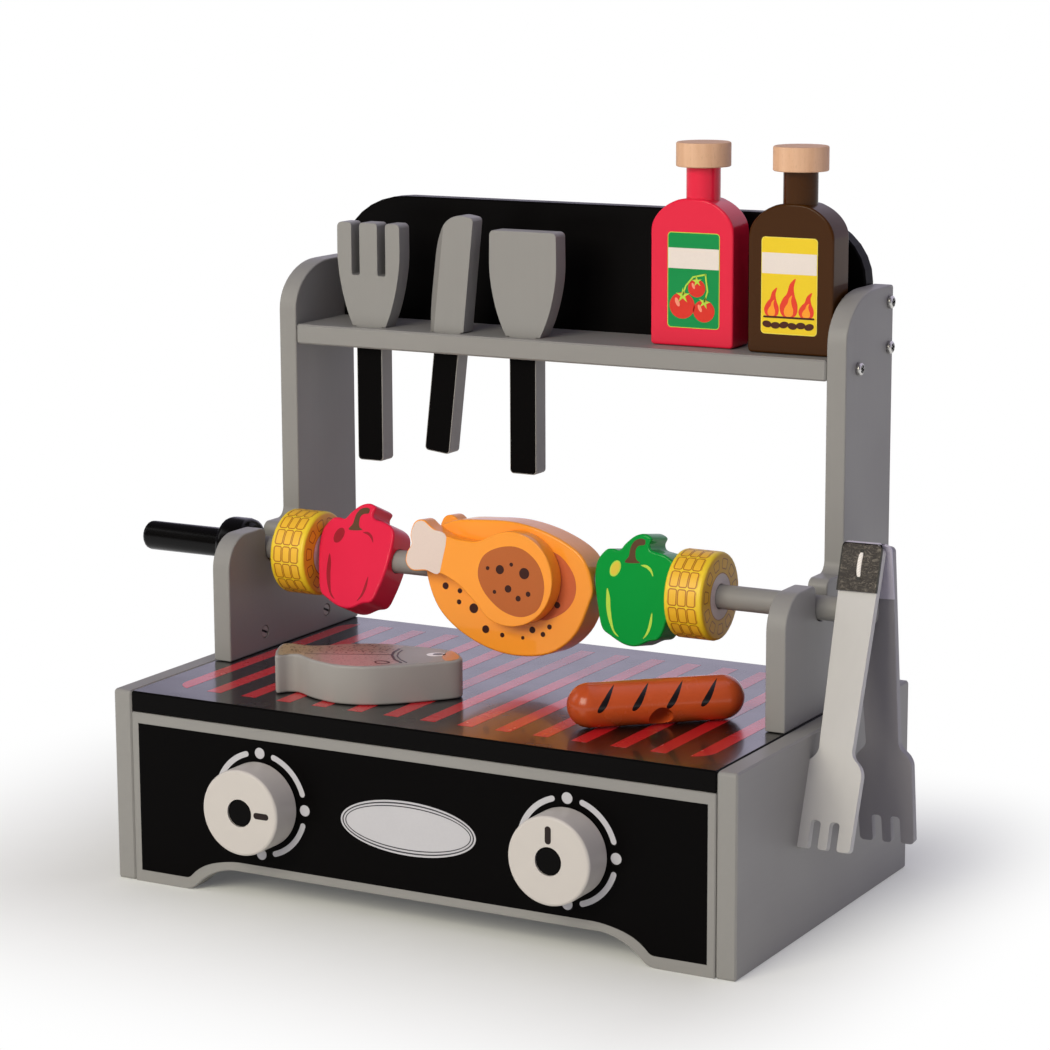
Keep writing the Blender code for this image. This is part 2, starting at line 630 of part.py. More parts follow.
def build_utensils():
    """The fork, knife and spatula that hang in the shelf by their heads."""
    front, back = UTENSIL_FRONT, UTENSIL_FRONT + UTENSIL_THICKNESS
    tine_top, slot_bottom = 373.0, 341.5
    slot_near, slot_far = 6.35, 11.85
    fork = head_and_handle(FORK_X, [
        (11.6, SHELF_TOP + GAP),
        (22.3, 334.0, 22),
        (22.0, tine_top, 3),
        (slot_far, tine_top, 2.6),
        (slot_far, slot_bottom, 2.74),
        (slot_near, slot_bottom, 2.74),
        (slot_near, tine_top, 2.6),
    ])
    piece("fork", prism(fork, "Y", front, back), "grey_lacquer", arris=UTENSIL_ARRIS)

    spatula = head_and_handle(SPATULA_X, [
        (11.6, SHELF_TOP + GAP),
        (22.9, 333.0, 20),
        (22.4, 372.5, 3),
    ])
    piece("spatula", prism(spatula, "Y", front, back), "grey_lacquer", arris=UTENSIL_ARRIS)

    length = 75.0
    blade = softened([
        (-1.9, 0.0),
        (-1.9, -length, 2.5),
        (-1.9 - KNIFE_HANDLE, -length, 2.5),
        (-1.9 - KNIFE_HANDLE, 0.0),
        (-23.7, 0.0, 3.5),
        (-25.2, 16.0, 8),
        (-24.6, 62.0, 16, 9),
        (-13.0, 71.8, 5),
        (-0.6, 71.2, 2.5),
        (0.0, 0.0),
    ], 4)
    shape = prism(blade, "Y", 0, UTENSIL_THICKNESS)
    rim = []
    for edge in shape.edges:
        start, end = (corner.co for corner in edge.verts)
        on_face = abs(start.y - end.y) < 0.01
        cutting = max(start.x, end.x) < -14.5 and min(start.z, end.z) > 2.0
        if on_face and cutting:
            rim.append(edge)
    bmesh.ops.bevel(shape, geom=rim, offset=KNIFE_EDGE, segments=1, affect="EDGES", clamp_overlap=False)
    at = (KNIFE_FOOT[0], KNIFE_FRONT, KNIFE_FOOT[1])
    piece("knife", shape, "grey_lacquer", at, UTENSIL_ARRIS, roll=KNIFE_LEAN)


def build_bottles():
    """Two flat sauce bottles with round necks, and natural beech caps glued on their tenons."""
    half = BOTTLE_WIDTH / 2
    floor = SHELF_TOP + GAP
    body = softened(mirrored([
        (half, 0, 3),
        (half, BOTTLE_SHOULDER, 3.5),
        (16.0, BOTTLE_BODY_TOP - 5.0, 7),
        (5.0, BOTTLE_BODY_TOP),
    ]), 3)
    tenon_top = NECK_TOP + TENON_HEIGHT
    neck = [(BOTTLE_BODY_TOP - 12, 0), (BOTTLE_BODY_TOP - 12, NECK_RADIUS), (NECK_TOP, NECK_RADIUS),
            (NECK_TOP, TENON_RADIUS), (tenon_top, TENON_RADIUS), (tenon_top, 0)]
    low, high = NECK_TOP + GAP, NECK_TOP + GAP + CAP_HEIGHT
    cap = [(low, 0), (low, CAP_RADIUS - 1), (low + 1, CAP_RADIUS), (high - 1.5, CAP_RADIUS),
           (high - 0.4, CAP_RADIUS - 0.5), (high, CAP_RADIUS - 1.6), (high, 0)]
    for name, paint, place in (
        ("red_bottle", "red_paint", RED_BOTTLE),
        ("brown_bottle", "brown_paint", BROWN_BOTTLE),
    ):
        at = (*place, floor)
        thick = BOTTLE_THICKNESS / 2
        bottle = piece(name, prism(body, "Y", -thick, thick), paint, at, 2.0)
        merge(bottle, name + "_neck", turned(neck, "Z", 20), at)
        lid = piece(name + "_cap", turned(cap, "Z", 24), "beech", at)
        cut(lid, name + "_cap_bore", rod("Z", low - 2, tenon_top + 1, TENON_RADIUS + GAP, 20), at)


def build_tongs():
    """Two wooden arms joined by a leather strap over their tops, hung astride the rod."""
    neck, flare, end = -114.0, -124.0, -ARM_LENGTH
    slot_top = end + 15.0
    slot = 2.74
    arm = softened(mirrored([
        (2.7, end, 2.4),
        (2.7, slot_top, slot),
        (8.2, slot_top, slot),
        (8.2, end, 2.4),
        (15.6, end, 3.5),
        (16.4, flare, 5),
        (9.9, neck, 5),
        (STRAP_WIDTH / 2, 0, 3),
    ]), 2)
    front_at = (TONGS_X, TONGS_Y, TONGS_TOP)
    rear_at = (TONGS_X + REAR_SIDESTEP, TONGS_Y, TONGS_TOP)
    lining = STRAP_THICKNESS + 2 * GAP
    piece("tongs_front_arm", prism(arm, "Y", -ARM_THICKNESS, 0), "grey_lacquer", front_at, 0.8,
          lean=FRONT_LEAN, roll=FRONT_ROLL)
    piece("tongs_rear_arm", prism(arm, "Y", lining, lining + ARM_THICKNESS), "grey_lacquer", rear_at, 0.8,
          lean=REAR_LEAN, roll=REAR_ROLL)

    outer = -ARM_THICKNESS - GAP
    over = GAP + STRAP_THICKNESS
    fold = softened([
        (outer, -STRAP_LENGTH),
        (outer, GAP, 0.2),
        (-1.8, GAP),
        (-1.8, over),
        (outer - STRAP_THICKNESS, over, 1.5),
        (outer - STRAP_THICKNESS, -STRAP_LENGTH),
    ], 3)
    width = STRAP_WIDTH / 2
    trim = softened([(-width, -STRAP_LENGTH - 3), (width, -STRAP_LENGTH - 3), (width, over, 3.5),
                     (-width, over, 3.5)], 4)
    front = piece("tongs_front_strap", prism(fold, "X", -width - 2, width + 2), "leather", front_at,
                  lean=FRONT_LEAN, roll=FRONT_ROLL)
    cut(front, "strap_trim", prism(trim, "Y", -ARM_THICKNESS - 6, 3), front_at, FRONT_LEAN, FRONT_ROLL,
        keep=True)
    tab = softened([(-width, -STRAP_LENGTH), (width, -STRAP_LENGTH), (width, 0.8, 3.5), (-width, 0.8, 3.5)], 4)
    piece("tongs_rear_strap", prism(tab, "Y", GAP, GAP + STRAP_THICKNESS), "leather", rear_at,
          lean=REAR_LEAN, roll=REAR_ROLL)


def build_grill():
    """Builds every piece, and moves the origin under the middle of the whole object."""
    clear_scene()
    grill = bpy.data.objects.new("grill", None)
    grill.location = -ORIGIN * MM
    bpy.context.collection.objects.link(grill)
    build_table()
    build_uprights()
    build_fasteners()
    build_shelf()
    build_knobs()
    build_spit()
    build_corn()
    build_peppers()
    build_chicken()
    build_table_food()
    build_utensils()
    build_bottles()
    build_tongs()


build_grill()
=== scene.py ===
"""Looks of the toy barbecue grill: paints, prints, leather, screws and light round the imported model.

Lengths are millimetres on the grill's own planes: X to the right from the middle of the table, Y back from the
front panel's face, and Z up from the floor. Finished pieces are in metres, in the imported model's frame.
"""
import json
import math
from functools import partial

import bmesh
import bpy
from mathutils import Euler
from mathutils import Matrix
from mathutils import Vector

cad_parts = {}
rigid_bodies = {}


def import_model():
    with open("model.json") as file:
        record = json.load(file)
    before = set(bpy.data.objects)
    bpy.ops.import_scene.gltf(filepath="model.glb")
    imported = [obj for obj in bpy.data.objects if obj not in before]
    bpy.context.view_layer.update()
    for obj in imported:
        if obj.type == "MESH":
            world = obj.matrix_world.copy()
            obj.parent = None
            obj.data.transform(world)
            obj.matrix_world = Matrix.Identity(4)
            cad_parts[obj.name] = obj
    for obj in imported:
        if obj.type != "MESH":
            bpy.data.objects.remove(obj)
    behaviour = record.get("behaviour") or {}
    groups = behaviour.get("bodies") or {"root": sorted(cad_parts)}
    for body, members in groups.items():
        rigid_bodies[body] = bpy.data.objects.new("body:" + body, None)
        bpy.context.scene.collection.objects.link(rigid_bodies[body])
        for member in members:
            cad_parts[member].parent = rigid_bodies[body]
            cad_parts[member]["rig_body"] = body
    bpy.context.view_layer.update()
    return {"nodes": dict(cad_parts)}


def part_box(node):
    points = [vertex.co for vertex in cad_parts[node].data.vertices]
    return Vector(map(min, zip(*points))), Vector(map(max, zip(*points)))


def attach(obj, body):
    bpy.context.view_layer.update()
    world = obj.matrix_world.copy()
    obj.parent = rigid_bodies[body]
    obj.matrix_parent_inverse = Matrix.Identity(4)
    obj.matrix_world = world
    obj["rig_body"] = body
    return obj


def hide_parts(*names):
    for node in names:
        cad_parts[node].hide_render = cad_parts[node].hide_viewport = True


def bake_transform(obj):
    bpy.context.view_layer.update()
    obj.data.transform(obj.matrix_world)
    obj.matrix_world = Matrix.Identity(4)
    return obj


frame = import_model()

MM = 0.001
ORIGIN = Vector((-14.9, 107.0, 0.0))
INK_SUNK = 0.04
INK_HEIGHT = 0.08

# Planes and places of the pieces that are shaped or printed
TABLE_TOP = 114.0
ON_TABLE = 114.3
ON_SHELF = 310.3
CHEEK_BOLTS = (124.0, 194.0)
NUT_HEIGHT = 125.7
KNOB_X = 99.0
KNOB_HEIGHT = 58.0
KNOB_FRONT = -22.0
SPIT = (0.0, 134.0, 176.0)
SPIT_BORE = 7.4
SLICE_HALF = 11.0
PEPPERS = (("red_pepper", 0.0, -22.6), ("green_pepper", 187.9, -9.7))
CHICKEN_LEAN = -5.0
LEG_FRONT = -23.0
FISH_TOP = 137.0
SAUSAGE = (114.7, 75.4, 126.9)
SAUSAGE_TURN = 42.65
SAUSAGE_RADIUS = 12.6
FORK_X = -128.8
SPATULA_X = -22.6
UTENSIL_FRONT = 172.5
UTENSIL_BACK = 184.5
KNIFE_THICKNESS = 12.0
KNIFE_FOOT = (-62.1, 171.0, 310.4)
KNIFE_LEAN = 6.5
FRONT_TOP = (212.9, 138.2, 211.5)
FRONT_TILT = (-19.5, -0.6)
REAR_TOP = (215.5, 138.2, 211.5)
REAR_TILT = (4.5, -2.0)
ARM_THICKNESS = 5.0
STRAP_THICKNESS = 1.3
STRAP_HALF = 12.0
STRAP_GAP = 0.3

# The setting that each kind of node is given after its kind
MODES = {
    "Math": "operation", "VectorMath": "operation", "Mix": "data_type", "MapRange": "interpolation_type",
    "Mapping": "vector_type", "TexWave": "bands_direction",
}

# Light: the room's strength on the object, and each lamp's place, size, watts and tint
AMBIENT = 0.4
LAMPS = (
    ("key_softbox", (-0.3, -2.3, 1.4), (1.4, 1.3), 44.5, "FFF9E8"),
    ("left_softbox", (-1.9, -0.8, 1.2), (0.9, 1.2), 5.0, "FFFFFF"),
    ("right_low_strip", (0.66, 0.16, 0.05), (0.9, 0.1), 0.14, "F4F0FF"),
)


def linear(code):
    """Turns a six-digit screen colour into the linear values that a shader takes."""
    values = []
    for start in (0, 2, 4):
        value = int(code[start:start + 2], 16) / 255
        values.append(value / 12.92 if value <= 0.04045 else ((value + 0.055) / 1.055) ** 2.4)
    return (*values, 1.0)


def shaded(code, share):
    """The same colour, lighter or darker by a share of its light."""
    return tuple(min(1.0, value * (1 + share)) for value in linear(code)[:3]) + (1.0,)


def in_frame(at):
    """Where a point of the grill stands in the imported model's frame, in metres."""
    return (Vector(at) - ORIGIN) * MM


def wire(socket, value):
    """Gives a socket its value: a number, a screen colour, another socket, or a node's first output in use."""
    if isinstance(value, str):
        value = linear(value)
    if isinstance(value, bpy.types.Node):
        value = next(output for output in value.outputs if output.enabled)
    if isinstance(value, bpy.types.NodeSocket):
        socket.id_data.links.new(value, socket)
    else:
        socket.default_value = value


def add(tree, kind, *values, **named):
    """Adds a node by its kind and mode. Values fill its inputs in use from the top down, or go to named ones."""
    kind, *mode = kind.split()
    made = tree.nodes.new("ShaderNode" + kind)
    if mode:
        setattr(made, MODES[kind], mode[0])
    for socket, value in zip([socket for socket in made.inputs if socket.enabled], values):
        wire(socket, value)
    for name, value in named.items():
        wire(made.inputs[name], value)
    return made


def started(name, **fixed):
    """A new material, the means to add its nodes, and the place on the piece; what is even all over is set here."""
    material = bpy.data.materials.new(name)
    material.use_nodes = True
    for socket, value in fixed.items():
        wire(material.node_tree.nodes["Principled BSDF"].inputs[socket.replace("_", " ")], value)
    node = partial(add, material.node_tree)
    return material, node, node("TexCoord").outputs["Object"]


def surfaced(material, colour, rough, heights):
    """Feeds the shader its colour, a roughness that varies, and bumps from (height, depth in millimetres)."""
    tree = material.node_tree
    normal = None
    for height, depth in heights:
        below = {"Normal": normal} if normal else {}
        normal = add(tree, "Bump", Height=height, Distance=depth * MM, Strength=1.0, **below)
    for socket, source in (("Base Color", colour), ("Roughness", rough), ("Normal", normal)):
        wire(tree.nodes["Principled BSDF"].inputs[socket], source)
    return material


def lacquer(name, code, rough, grain=(300, 300, 14), show=0.05, ripple=0.004, coat=0.0, shine=0.25):
    """Sprayed paint on sanded board: an even coat with faint streaks of the grain, soft clouds and a fine ripple.

    The grain is given as features per metre along each axis, so the small number is the way it runs.
    """
    material, node, place = started(name, IOR=1.5, Specular_IOR_Level=shine, Coat_Weight=coat, Coat_Roughness=0.06)
    streaks = node("TexNoise", node("Mapping", place, Scale=grain), 1.0, 3.0)
    clouds = node("TexNoise", place, 21.0, 2.0)
    peel = node("TexNoise", place, 620.0, 1.0)
    tone = node("Mix", 0.55, streaks, clouds)
    colour = node("Mix RGBA", tone, shaded(code, -show), shaded(code, show))
    dull = node("MapRange", clouds, 0.3, 0.7, rough * 0.88, rough * 1.14)
    return surfaced(material, colour, dull, [(streaks, ripple * 1.5), (peel, ripple)])


def ink(name, code, rough=0.36, mottle=0.05, shine=0.25, coat=0.0):
    """Screen-printed ink: an even film whose density is slightly mottled by the mesh that it was pressed through."""
    material, node, place = started(name, IOR=1.5, Specular_IOR_Level=shine, Coat_Weight=coat, Coat_Roughness=0.06)
    specks = node("TexNoise", place, 900.0, 2.0)
    clouds = node("TexNoise", place, 45.0, 2.0)
    tone = node("Mix", 0.4, specks, clouds)
    colour = node("Mix RGBA", tone, shaded(code, -mottle), shaded(code, mottle))
    dull = node("MapRange", clouds, 0.3, 0.7, rough * 0.9, rough * 1.12)
    return surfaced(material, colour, dull, [(specks, 0.004)])


def turned_beech():
    """Bare beech, turned and sanded: pale pinkish tan, long soft grain and the wood's short dark flecks."""
    material, node, place = started("bare_turned_beech", IOR=1.45)
    grain = node("TexNoise", node("Mapping", place, Scale=(260, 260, 22)), 1.0, 4.0)
    fleck = node("TexNoise", node("Mapping", place, Scale=(1500, 1500, 330)), 1.0, 1.0)
    dark = node("MapRange", fleck, 0.62, 0.72, 0.0, 0.14)
    wood = node("Mix RGBA", grain, "D2A27C", "E6BE9C")
    colour = node("Mix RGBA", dark, wood, "8E6140")
    dull = node("MapRange", grain, 0.0, 1.0, 0.5, 0.68)
    return surfaced(material, colour, dull, [(grain, 0.03), (fleck, 0.01)])


def zinc_plate():
    """Bright zinc on a pressed steel screw: a cool metal with fine scratches and a patchy shine."""
    material, node, place = started("zinc_plated_steel", Metallic=1.0)
    patch = node("TexNoise", place, 900.0, 3.0)
    colour = node("Mix RGBA", patch, "A9A8A6", "D2D0CA")
    dull = node("MapRange", patch, 0.0, 1.0, 0.2, 0.38)
    return surfaced(material, colour, dull, [(patch, 0.01)])


def strap_skin():
    """The grain side of split leather: dark hide crackled into small creases, lighter on its ridges by wear and by a
    painted highlight.
    """
    material, node, place = started("crackled_dark_leather", IOR=1.5, Specular_IOR_Level=0.35)
    drawn_out = node("Mapping", place, Rotation=(0.0, 0.7, 0.0), Scale=(0.55, 1.0, 1.0))
    folds = node("TexNoise", drawn_out, 520.0, 5.0, 0.72, Distortion=0.8)
    apart = node("Math ABSOLUTE", node("Math SUBTRACT", folds, 0.5))
    ridges = node("MapRange", apart, 0.0, 0.13)
    patches = node("TexNoise", place, 210.0, 3.0)
    # Ridges are painted lighter, partly for wear and partly as a painted highlight where light catches them
    worn_and_lit_ridges = node("Math MULTIPLY", ridges, node("MapRange", patches, 0.3, 0.7, 0.35, 1.0))
    colour = node("Mix RGBA", worn_and_lit_ridges, "2C2826", "7C7569")
    dull = node("MapRange", patches, 0.0, 1.0, 0.4, 0.6)
    return surfaced(material, colour, dull, [(ridges, 0.14), (patches, 0.3)])


def strap_flesh():
    """The back of the same leather: a smooth purple-grey finish with fine fibres in it."""
    material, node, place = started("leather_back", IOR=1.45, Sheen_Weight=0.15)
    fibres = node("TexNoise", place, 1300.0, 4.0)
    clouds = node("TexNoise", place, 120.0, 2.0)
    tone = node("Mix", 0.5, fibres, clouds)
    colour = node("Mix RGBA", tone, "B2AEBB", "CECAD6")
    dull = node("MapRange", clouds, 0.0, 1.0, 0.34, 0.5)
    return surfaced(material, colour, dull, [(fibres, 0.02)])


def waxed_thread():
    """Thick white thread: two strands twisted together, with the fuzz waxed flat."""
    material, node, place = started("waxed_white_thread", IOR=1.45)
    slanted = node("Mapping", place, Rotation=(0.0, 0.6, 0.0))
    twist = node("TexWave Z", slanted, 260.0, 0.4).outputs["Fac"]
    fuzz = node("TexNoise", place, 2200.0, 2.0)
    colour = node("Mix RGBA", twist, "E4DED4", "F4F0E8")
    dull = node("MapRange", fuzz, 0.0, 1.0, 0.5, 0.7)
    return surfaced(material, colour, dull, [(twist, 0.05), (fuzz, 0.02)])


def corn_print(name, middle):
    """Yellow paint printed with kernels: fifteen rows of three round the slice, a ring of eleven on each end, and a
    bare wooden middle. Outlines are drawn 0.7 mm wide, as they are on the toy. The ends' ground is a darker
    orange-yellow, which is painted shade."""
    rows, row_radius, pitch, ring_count, ring_radius, corner = 15, 25.5, 5.8, 11, 18.8, 1.2
    material, node, place = started(name, IOR=1.5)
    middle_at = in_frame((middle, *SPIT[1:]))
    scaled = node("VectorMath SCALE", node("Mapping", place, tuple(-middle_at)), 1000.0)
    across, deep, high = node("SeparateXYZ", scaled).outputs
    squares = [node("Math POWER", node("Math ABSOLUTE", way), 2.0) for way in (deep, high)]
    radius = node("Math SQRT", node("Math ADD", *squares))
    turn = node("Math DIVIDE", node("Math ARCTAN2", high, deep), math.tau)
    on_end = node("Math GREATER_THAN", node("Math ABSOLUTE", across), 11.6)

    def from_middle(value, count, size):
        """How far a place is from the middle of its kernel, along a row of even kernels."""
        counted = node("Math ADD", node("Math MULTIPLY", value, count), 0.25)
        share = node("Math SUBTRACT", node("Math FRACT", counted), 0.5)
        return node("Math MULTIPLY", share, size)

    row = from_middle(turn, float(rows), math.tau * row_radius / rows)
    column = from_middle(node("Math ADD", across, 1.8), 1 / pitch, pitch)
    ring = from_middle(turn, float(ring_count), math.tau * ring_radius / ring_count)
    ray = node("Math SUBTRACT", radius, ring_radius)
    past = []
    for side, end, side_half, end_half in ((column, ray, 2.45, 2.8), (row, ring, 4.65, 3.2)):
        away = node("Math ABSOLUTE", node("Mix", on_end, side, end))
        flat = node("Math SUBTRACT", node("Mix", on_end, side_half, end_half), corner)
        over = node("Math MAXIMUM", node("Math SUBTRACT", away, flat), 0.0)
        past.append(node("Math MULTIPLY", over, over))
    outside = node("Math SUBTRACT", node("Math SQRT", node("Math ADD", *past)), corner)
    from_centre = node("Math ABSOLUTE", node("Math ADD", across, 0.3))
    allowed = node("Math MAXIMUM", node("Math LESS_THAN", from_centre, 9.0), on_end)
    line = node("MapRange", node("Math ABSOLUTE", outside), 0.42, 0.26)
    from_rim = node("Math ABSOLUTE", node("Math SUBTRACT", radius, 13.4))
    rim = node("Math MULTIPLY", node("MapRange", from_rim, 0.4, 0.25), on_end)
    drawn = node("Math MAXIMUM", node("Math MULTIPLY", line, allowed), rim)
    filled = node("Math MULTIPLY", node("Math LESS_THAN", outside, 0.0), allowed)
    bare = node("Math LESS_THAN", radius, 13.2)
    mottle = node("TexNoise", place, 420.0, 3.0)
    # The ends' darker orange-yellow ground is painted shade
    colour, corn_end_shade, kernel, wood = [
        node("Mix RGBA", mottle, dark, light)
        for dark, light in (("EDC820", "F5D52C"), ("E6B024", "F0C232"), ("EFB724", "F6C432"), ("DACCC2", "ECE0D8"))]
    for share, over in ((on_end, corn_end_shade), (filled, kernel), (drawn, "B0680E"), (bare, wood)):
        colour = node("Mix RGBA", share, colour, over)
    dull = node("MapRange", mottle, 0.0, 1.0, 0.36, 0.5)
    return surfaced(material, colour, dull, [(mottle, 0.006), (drawn, 0.03)])


def sausage_paint():
    """Gloss brown-orange enamel, painted browner towards the ends as shade, with four slanting grill marks printed on
    one side.
    """
    slant, pitch = 0.617, 19.75
    material, node, place = started("glossy_sausage_enamel", IOR=1.5, Coat_Weight=0.25, Coat_Roughness=0.14,
                                    Specular_IOR_Level=0.3)
    turn = (0.0, 0.0, math.radians(SAUSAGE_TURN))
    local = node("Mapping TEXTURE", place, tuple(in_frame(SAUSAGE)), turn)
    along, deep, high = node("SeparateXYZ", node("VectorMath SCALE", local, 1000.0)).outputs
    angle = node("Math ARCTAN2", node("Math MULTIPLY", deep, -1.0), high)
    round_it = node("Math MULTIPLY", angle, SAUSAGE_RADIUS)
    lean = node("Math MULTIPLY", node("Math SUBTRACT", round_it, 12.4), slant)
    slanted = node("Math ADD", node("Math ADD", along, lean), 0.75)
    counted = node("Math FRACT", node("Math DIVIDE", slanted, pitch))
    share = node("Math ABSOLUTE", node("Math SUBTRACT", counted, 0.5))
    away = node("Math MULTIPLY", share, pitch * 0.851)
    run = node("MapRange", round_it, 3.8, 21.6)
    left_over = node("Math SUBTRACT", 1.0, node("Math POWER", run, 8.0))
    swell = node("Math MULTIPLY", node("Math POWER", run, 0.8), node("Math SQRT", left_over))
    half = node("Math MULTIPLY", swell, 2.5)
    inside = node("MapRange", node("Math SUBTRACT", half, away), 0.02, 0.22)
    four = node("Math LESS_THAN", node("Math ABSOLUTE", slanted), 2 * pitch)
    mark = node("Math MULTIPLY", inside, four)
    clouds = node("TexNoise", place, 60.0, 3.0)
    warm = node("Mix RGBA", clouds, "C04D1D", "D05A27")
    # Painted shade: the enamel darkens to brown towards both ends
    end = node("MapRange", node("Math ABSOLUTE", along), 30.0, 51.0, 0.0, 0.45)
    skin = node("Mix RGBA", end, warm, "8E3614")
    colour = node("Mix RGBA", mark, skin, "140C09")
    dull = node("MapRange", clouds, 0.0, 1.0, 0.2, 0.32)
    return surfaced(material, colour, dull, [(clouds, 0.03), (mark, 0.02)])


def trout_print():
    """The print on the fish's back: tan at the tail, pink on the flank, and dark specks above the side line."""
    material, node, place = started("trout_skin_print", IOR=1.5)
    tail, lean = (-95.8, 44.2, 0.0), math.atan2(21.2, 45.8)
    local = node("Mapping TEXTURE", place, tuple(in_frame(tail)), (0.0, 0.0, lean))
    along, upward, _ = node("SeparateXYZ", node("VectorMath SCALE", local, 1000.0)).outputs
    flank = node("MapRange", along, -14.0, 16.0)
    back = node("MapRange", upward, -2.0, 12.0)
    body = node("Mix RGBA", back, "B59B96", "998578")
    base = node("Mix RGBA", flank, "A4947A", body)
    rough = node("TexNoise", place, 700.0, 2.0)
    uneven = node("Math ADD", node("TexVoronoi", place, 430.0), node("Math MULTIPLY", rough, 0.5))
    upper = node("MapRange", upward, 1.0, 4.0, 0.25, 1.0)
    specks = node("Math MULTIPLY", node("MapRange", uneven, 0.6, 0.52), upper)
    colour = node("Mix RGBA", specks, base, "382A26")
    dull = node("MapRange", rough, 0.0, 1.0, 0.24, 0.34)
    return surfaced(material, colour, dull, [(rough, 0.004)])


def face(at, right=(1, 0, 0), up=(0, 0, 1)):
    """A flat face: millimetres right, up and outwards from a point on it become metres in the frame."""
    right, up = Vector(right), Vector(up)
    axes = Matrix((right, up, right.cross(up))).transposed().to_4x4()
    return Matrix.Translation(in_frame(at)) @ axes @ Matrix.Scale(MM, 4)


def tilted(at, lean=0.0, roll=0.0):
    """The place of a piece that leans about X and rolls about Y, from its millimetres to metres in the frame."""
    turn = Euler((math.radians(lean), math.radians(roll), 0.0), "ZYX").to_matrix().to_4x4()
    return Matrix.Translation(in_frame(at)) @ turn @ Matrix.Scale(MM, 4)


def arc(centre, radii, start, end, steps):
    """Points on an ellipse's arc, from one angle in degrees to another."""
    points = []
    for step in range(steps + 1):
        angle = math.radians(start + (end - start) * step / steps)
        points.append((centre[0] + radii[0] * math.cos(angle), centre[1] + radii[1] * math.sin(angle)))
    return points


def oval(centre, radii, steps=40, tilt=0.0):
    """A closed ellipse, turned by a tilt in degrees."""
    turn = Matrix.Rotation(math.radians(tilt), 2)
    points = [Vector(point) for point in arc((0, 0), radii, 0, 360 - 360 / steps, steps - 1)]
    return [tuple(turn @ point + Vector(centre)) for point in points]


def softened(corners, steps=5):
    """An outline from corners (u, v), (u, v, r) or (u, v, before, after), each rounded over those lengths."""
    outline = []
    for index, corner in enumerate(corners):
        point = Vector(corner[:2])
        if len(corner) == 2:
            outline.append(tuple(point))
            continue
        before = (Vector(corners[index - 1][:2]) - point).normalized() * corner[2]
        after = (Vector(corners[(index + 1) % len(corners)][:2]) - point).normalized() * corner[-1]
        for step in range(steps + 1):
            angle = math.pi / 2 * step / steps
            outline.append(tuple(point + before * (1 - math.sin(angle)) + after * (1 - math.cos(angle))))
    return outline


def mirrored(half):
    """Closes a right-hand half of corners with its left-hand mirror image."""
    return half + [(-corner[0], corner[1], *reversed(corner[2:])) for corner in reversed(half)]


def slab(left, right, low, high, corner=1.0, steps=5):
    """A rectangle with rounded corners."""
    return softened([(left, low, corner), (right, low, corner), (right, high, corner), (left, high, corner)], steps)


def flowing(points, steps=5):
    """A smooth closed curve through given points."""
    count = len(points)
    outline = []
    for index in range(count):
        before, start, end, after = [Vector(points[(index + offset) % count]) for offset in (-1, 0, 1, 2)]
        for step in range(steps):
            t = step / steps
            bend = (after - end * 3 + start * 3 - before) * t ** 3
            bend += (before * 2 - start * 5 + end * 4 - after) * t ** 2
            outline.append(tuple(start + ((end - before) * t + bend) / 2))
    return outline


def stroke(points, width):
    """A pen line of even width with round ends, through a few points."""
    centre = [Vector(point) for point in points]
    left, right = [], []
    for index, point in enumerate(centre):
        ahead = centre[min(index + 1, len(centre) - 1)] - centre[max(index - 1, 0)]
        side = Vector((-ahead.y, ahead.x)).normalized() * width / 2
        left.append(point + side)
        right.append(point - side)
    caps = []
    for point, edge in ((centre[-1], left[-1]), (centre[0], right[0])):
        out = edge - point
        caps.append([point + Matrix.Rotation(-math.pi * step / 6, 2) @ out for step in range(1, 6)])
    return [tuple(point) for point in (*left, *caps[0], *reversed(right), *caps[1])]


def linked(name, data):
    """A new object in the scene, from its mesh, lamp or camera."""
    item = bpy.data.objects.new(name, data)
    bpy.context.collection.objects.link(item)
    return item


def meshed(name, shape):
    """A new object in the scene from a shape, which is freed."""
    mesh = bpy.data.meshes.new(name)
    shape.to_mesh(mesh)
    shape.free()
    return linked(name, mesh)


def solid_of(item):
    """Takes an object away and gives its shape with its modifiers applied."""
    bpy.context.view_layer.update()
    shape = bmesh.new()
    shape.from_object(item, bpy.context.evaluated_depsgraph_get())
    bpy.data.objects.remove(item)
    return shape


def finished(name, body, shape, finish, on=None, smooth=40.0):
    """Puts a shape on the toy: placed, painted, shaded, and riding on its body."""
    if on is not None:
        bmesh.ops.transform(shape, matrix=on, verts=shape.verts)
    item = meshed(name, shape)
    mesh = item.data
    if "custom_normal" in mesh.attributes:
        mesh.attributes.remove(mesh.attributes["custom_normal"])
    mesh.materials.append(finish)
    mesh.shade_smooth()
    mesh.set_sharp_from_angle(angle=math.radians(smooth))
    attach(item, body)
    return item


def standing_in(node, word, shape, finish, on=None, smooth=40.0):
    """Puts a finished piece in place of a packed one, its shading weighted by the size of its faces."""
    item = finished(f"{node}_{word}", frame["nodes"][node]["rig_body"], shape, finish, on, smooth)
    item.modifiers.new("even_faces", "WEIGHTED_NORMAL").keep_sharp = True
    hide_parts(node)
    return item


def dressed(node, finish):
    """A CAD node's shape with its loose triangles merged, its rounded edges shaded soft, and its finish."""
    shape = bmesh.new()
    shape.from_mesh(frame["nodes"][node].data)
    bmesh.ops.remove_doubles(shape, verts=shape.verts[:], dist=0.000002)
    standing_in(node, "finished", shape, finish, smooth=50.0)


def shaped(node, solid, finish, on=None):
    """A finely curved piece in place of its packed one, drawn in its own tilted place or on the grill's planes."""
    return standing_in(node, "shaped", solid, finish, on or tilted((0, 0, 0)))


def thickened(solid, vector):
    """Gives the flat faces of a shape a thickness."""
    grown = bmesh.ops.extrude_face_region(solid, geom=solid.faces[:])
    raised = [item for item in grown["geom"] if isinstance(item, bmesh.types.BMVert)]
    bmesh.ops.translate(solid, verts=raised, vec=vector)
    bmesh.ops.recalc_face_normals(solid, faces=solid.faces[:])
    return solid


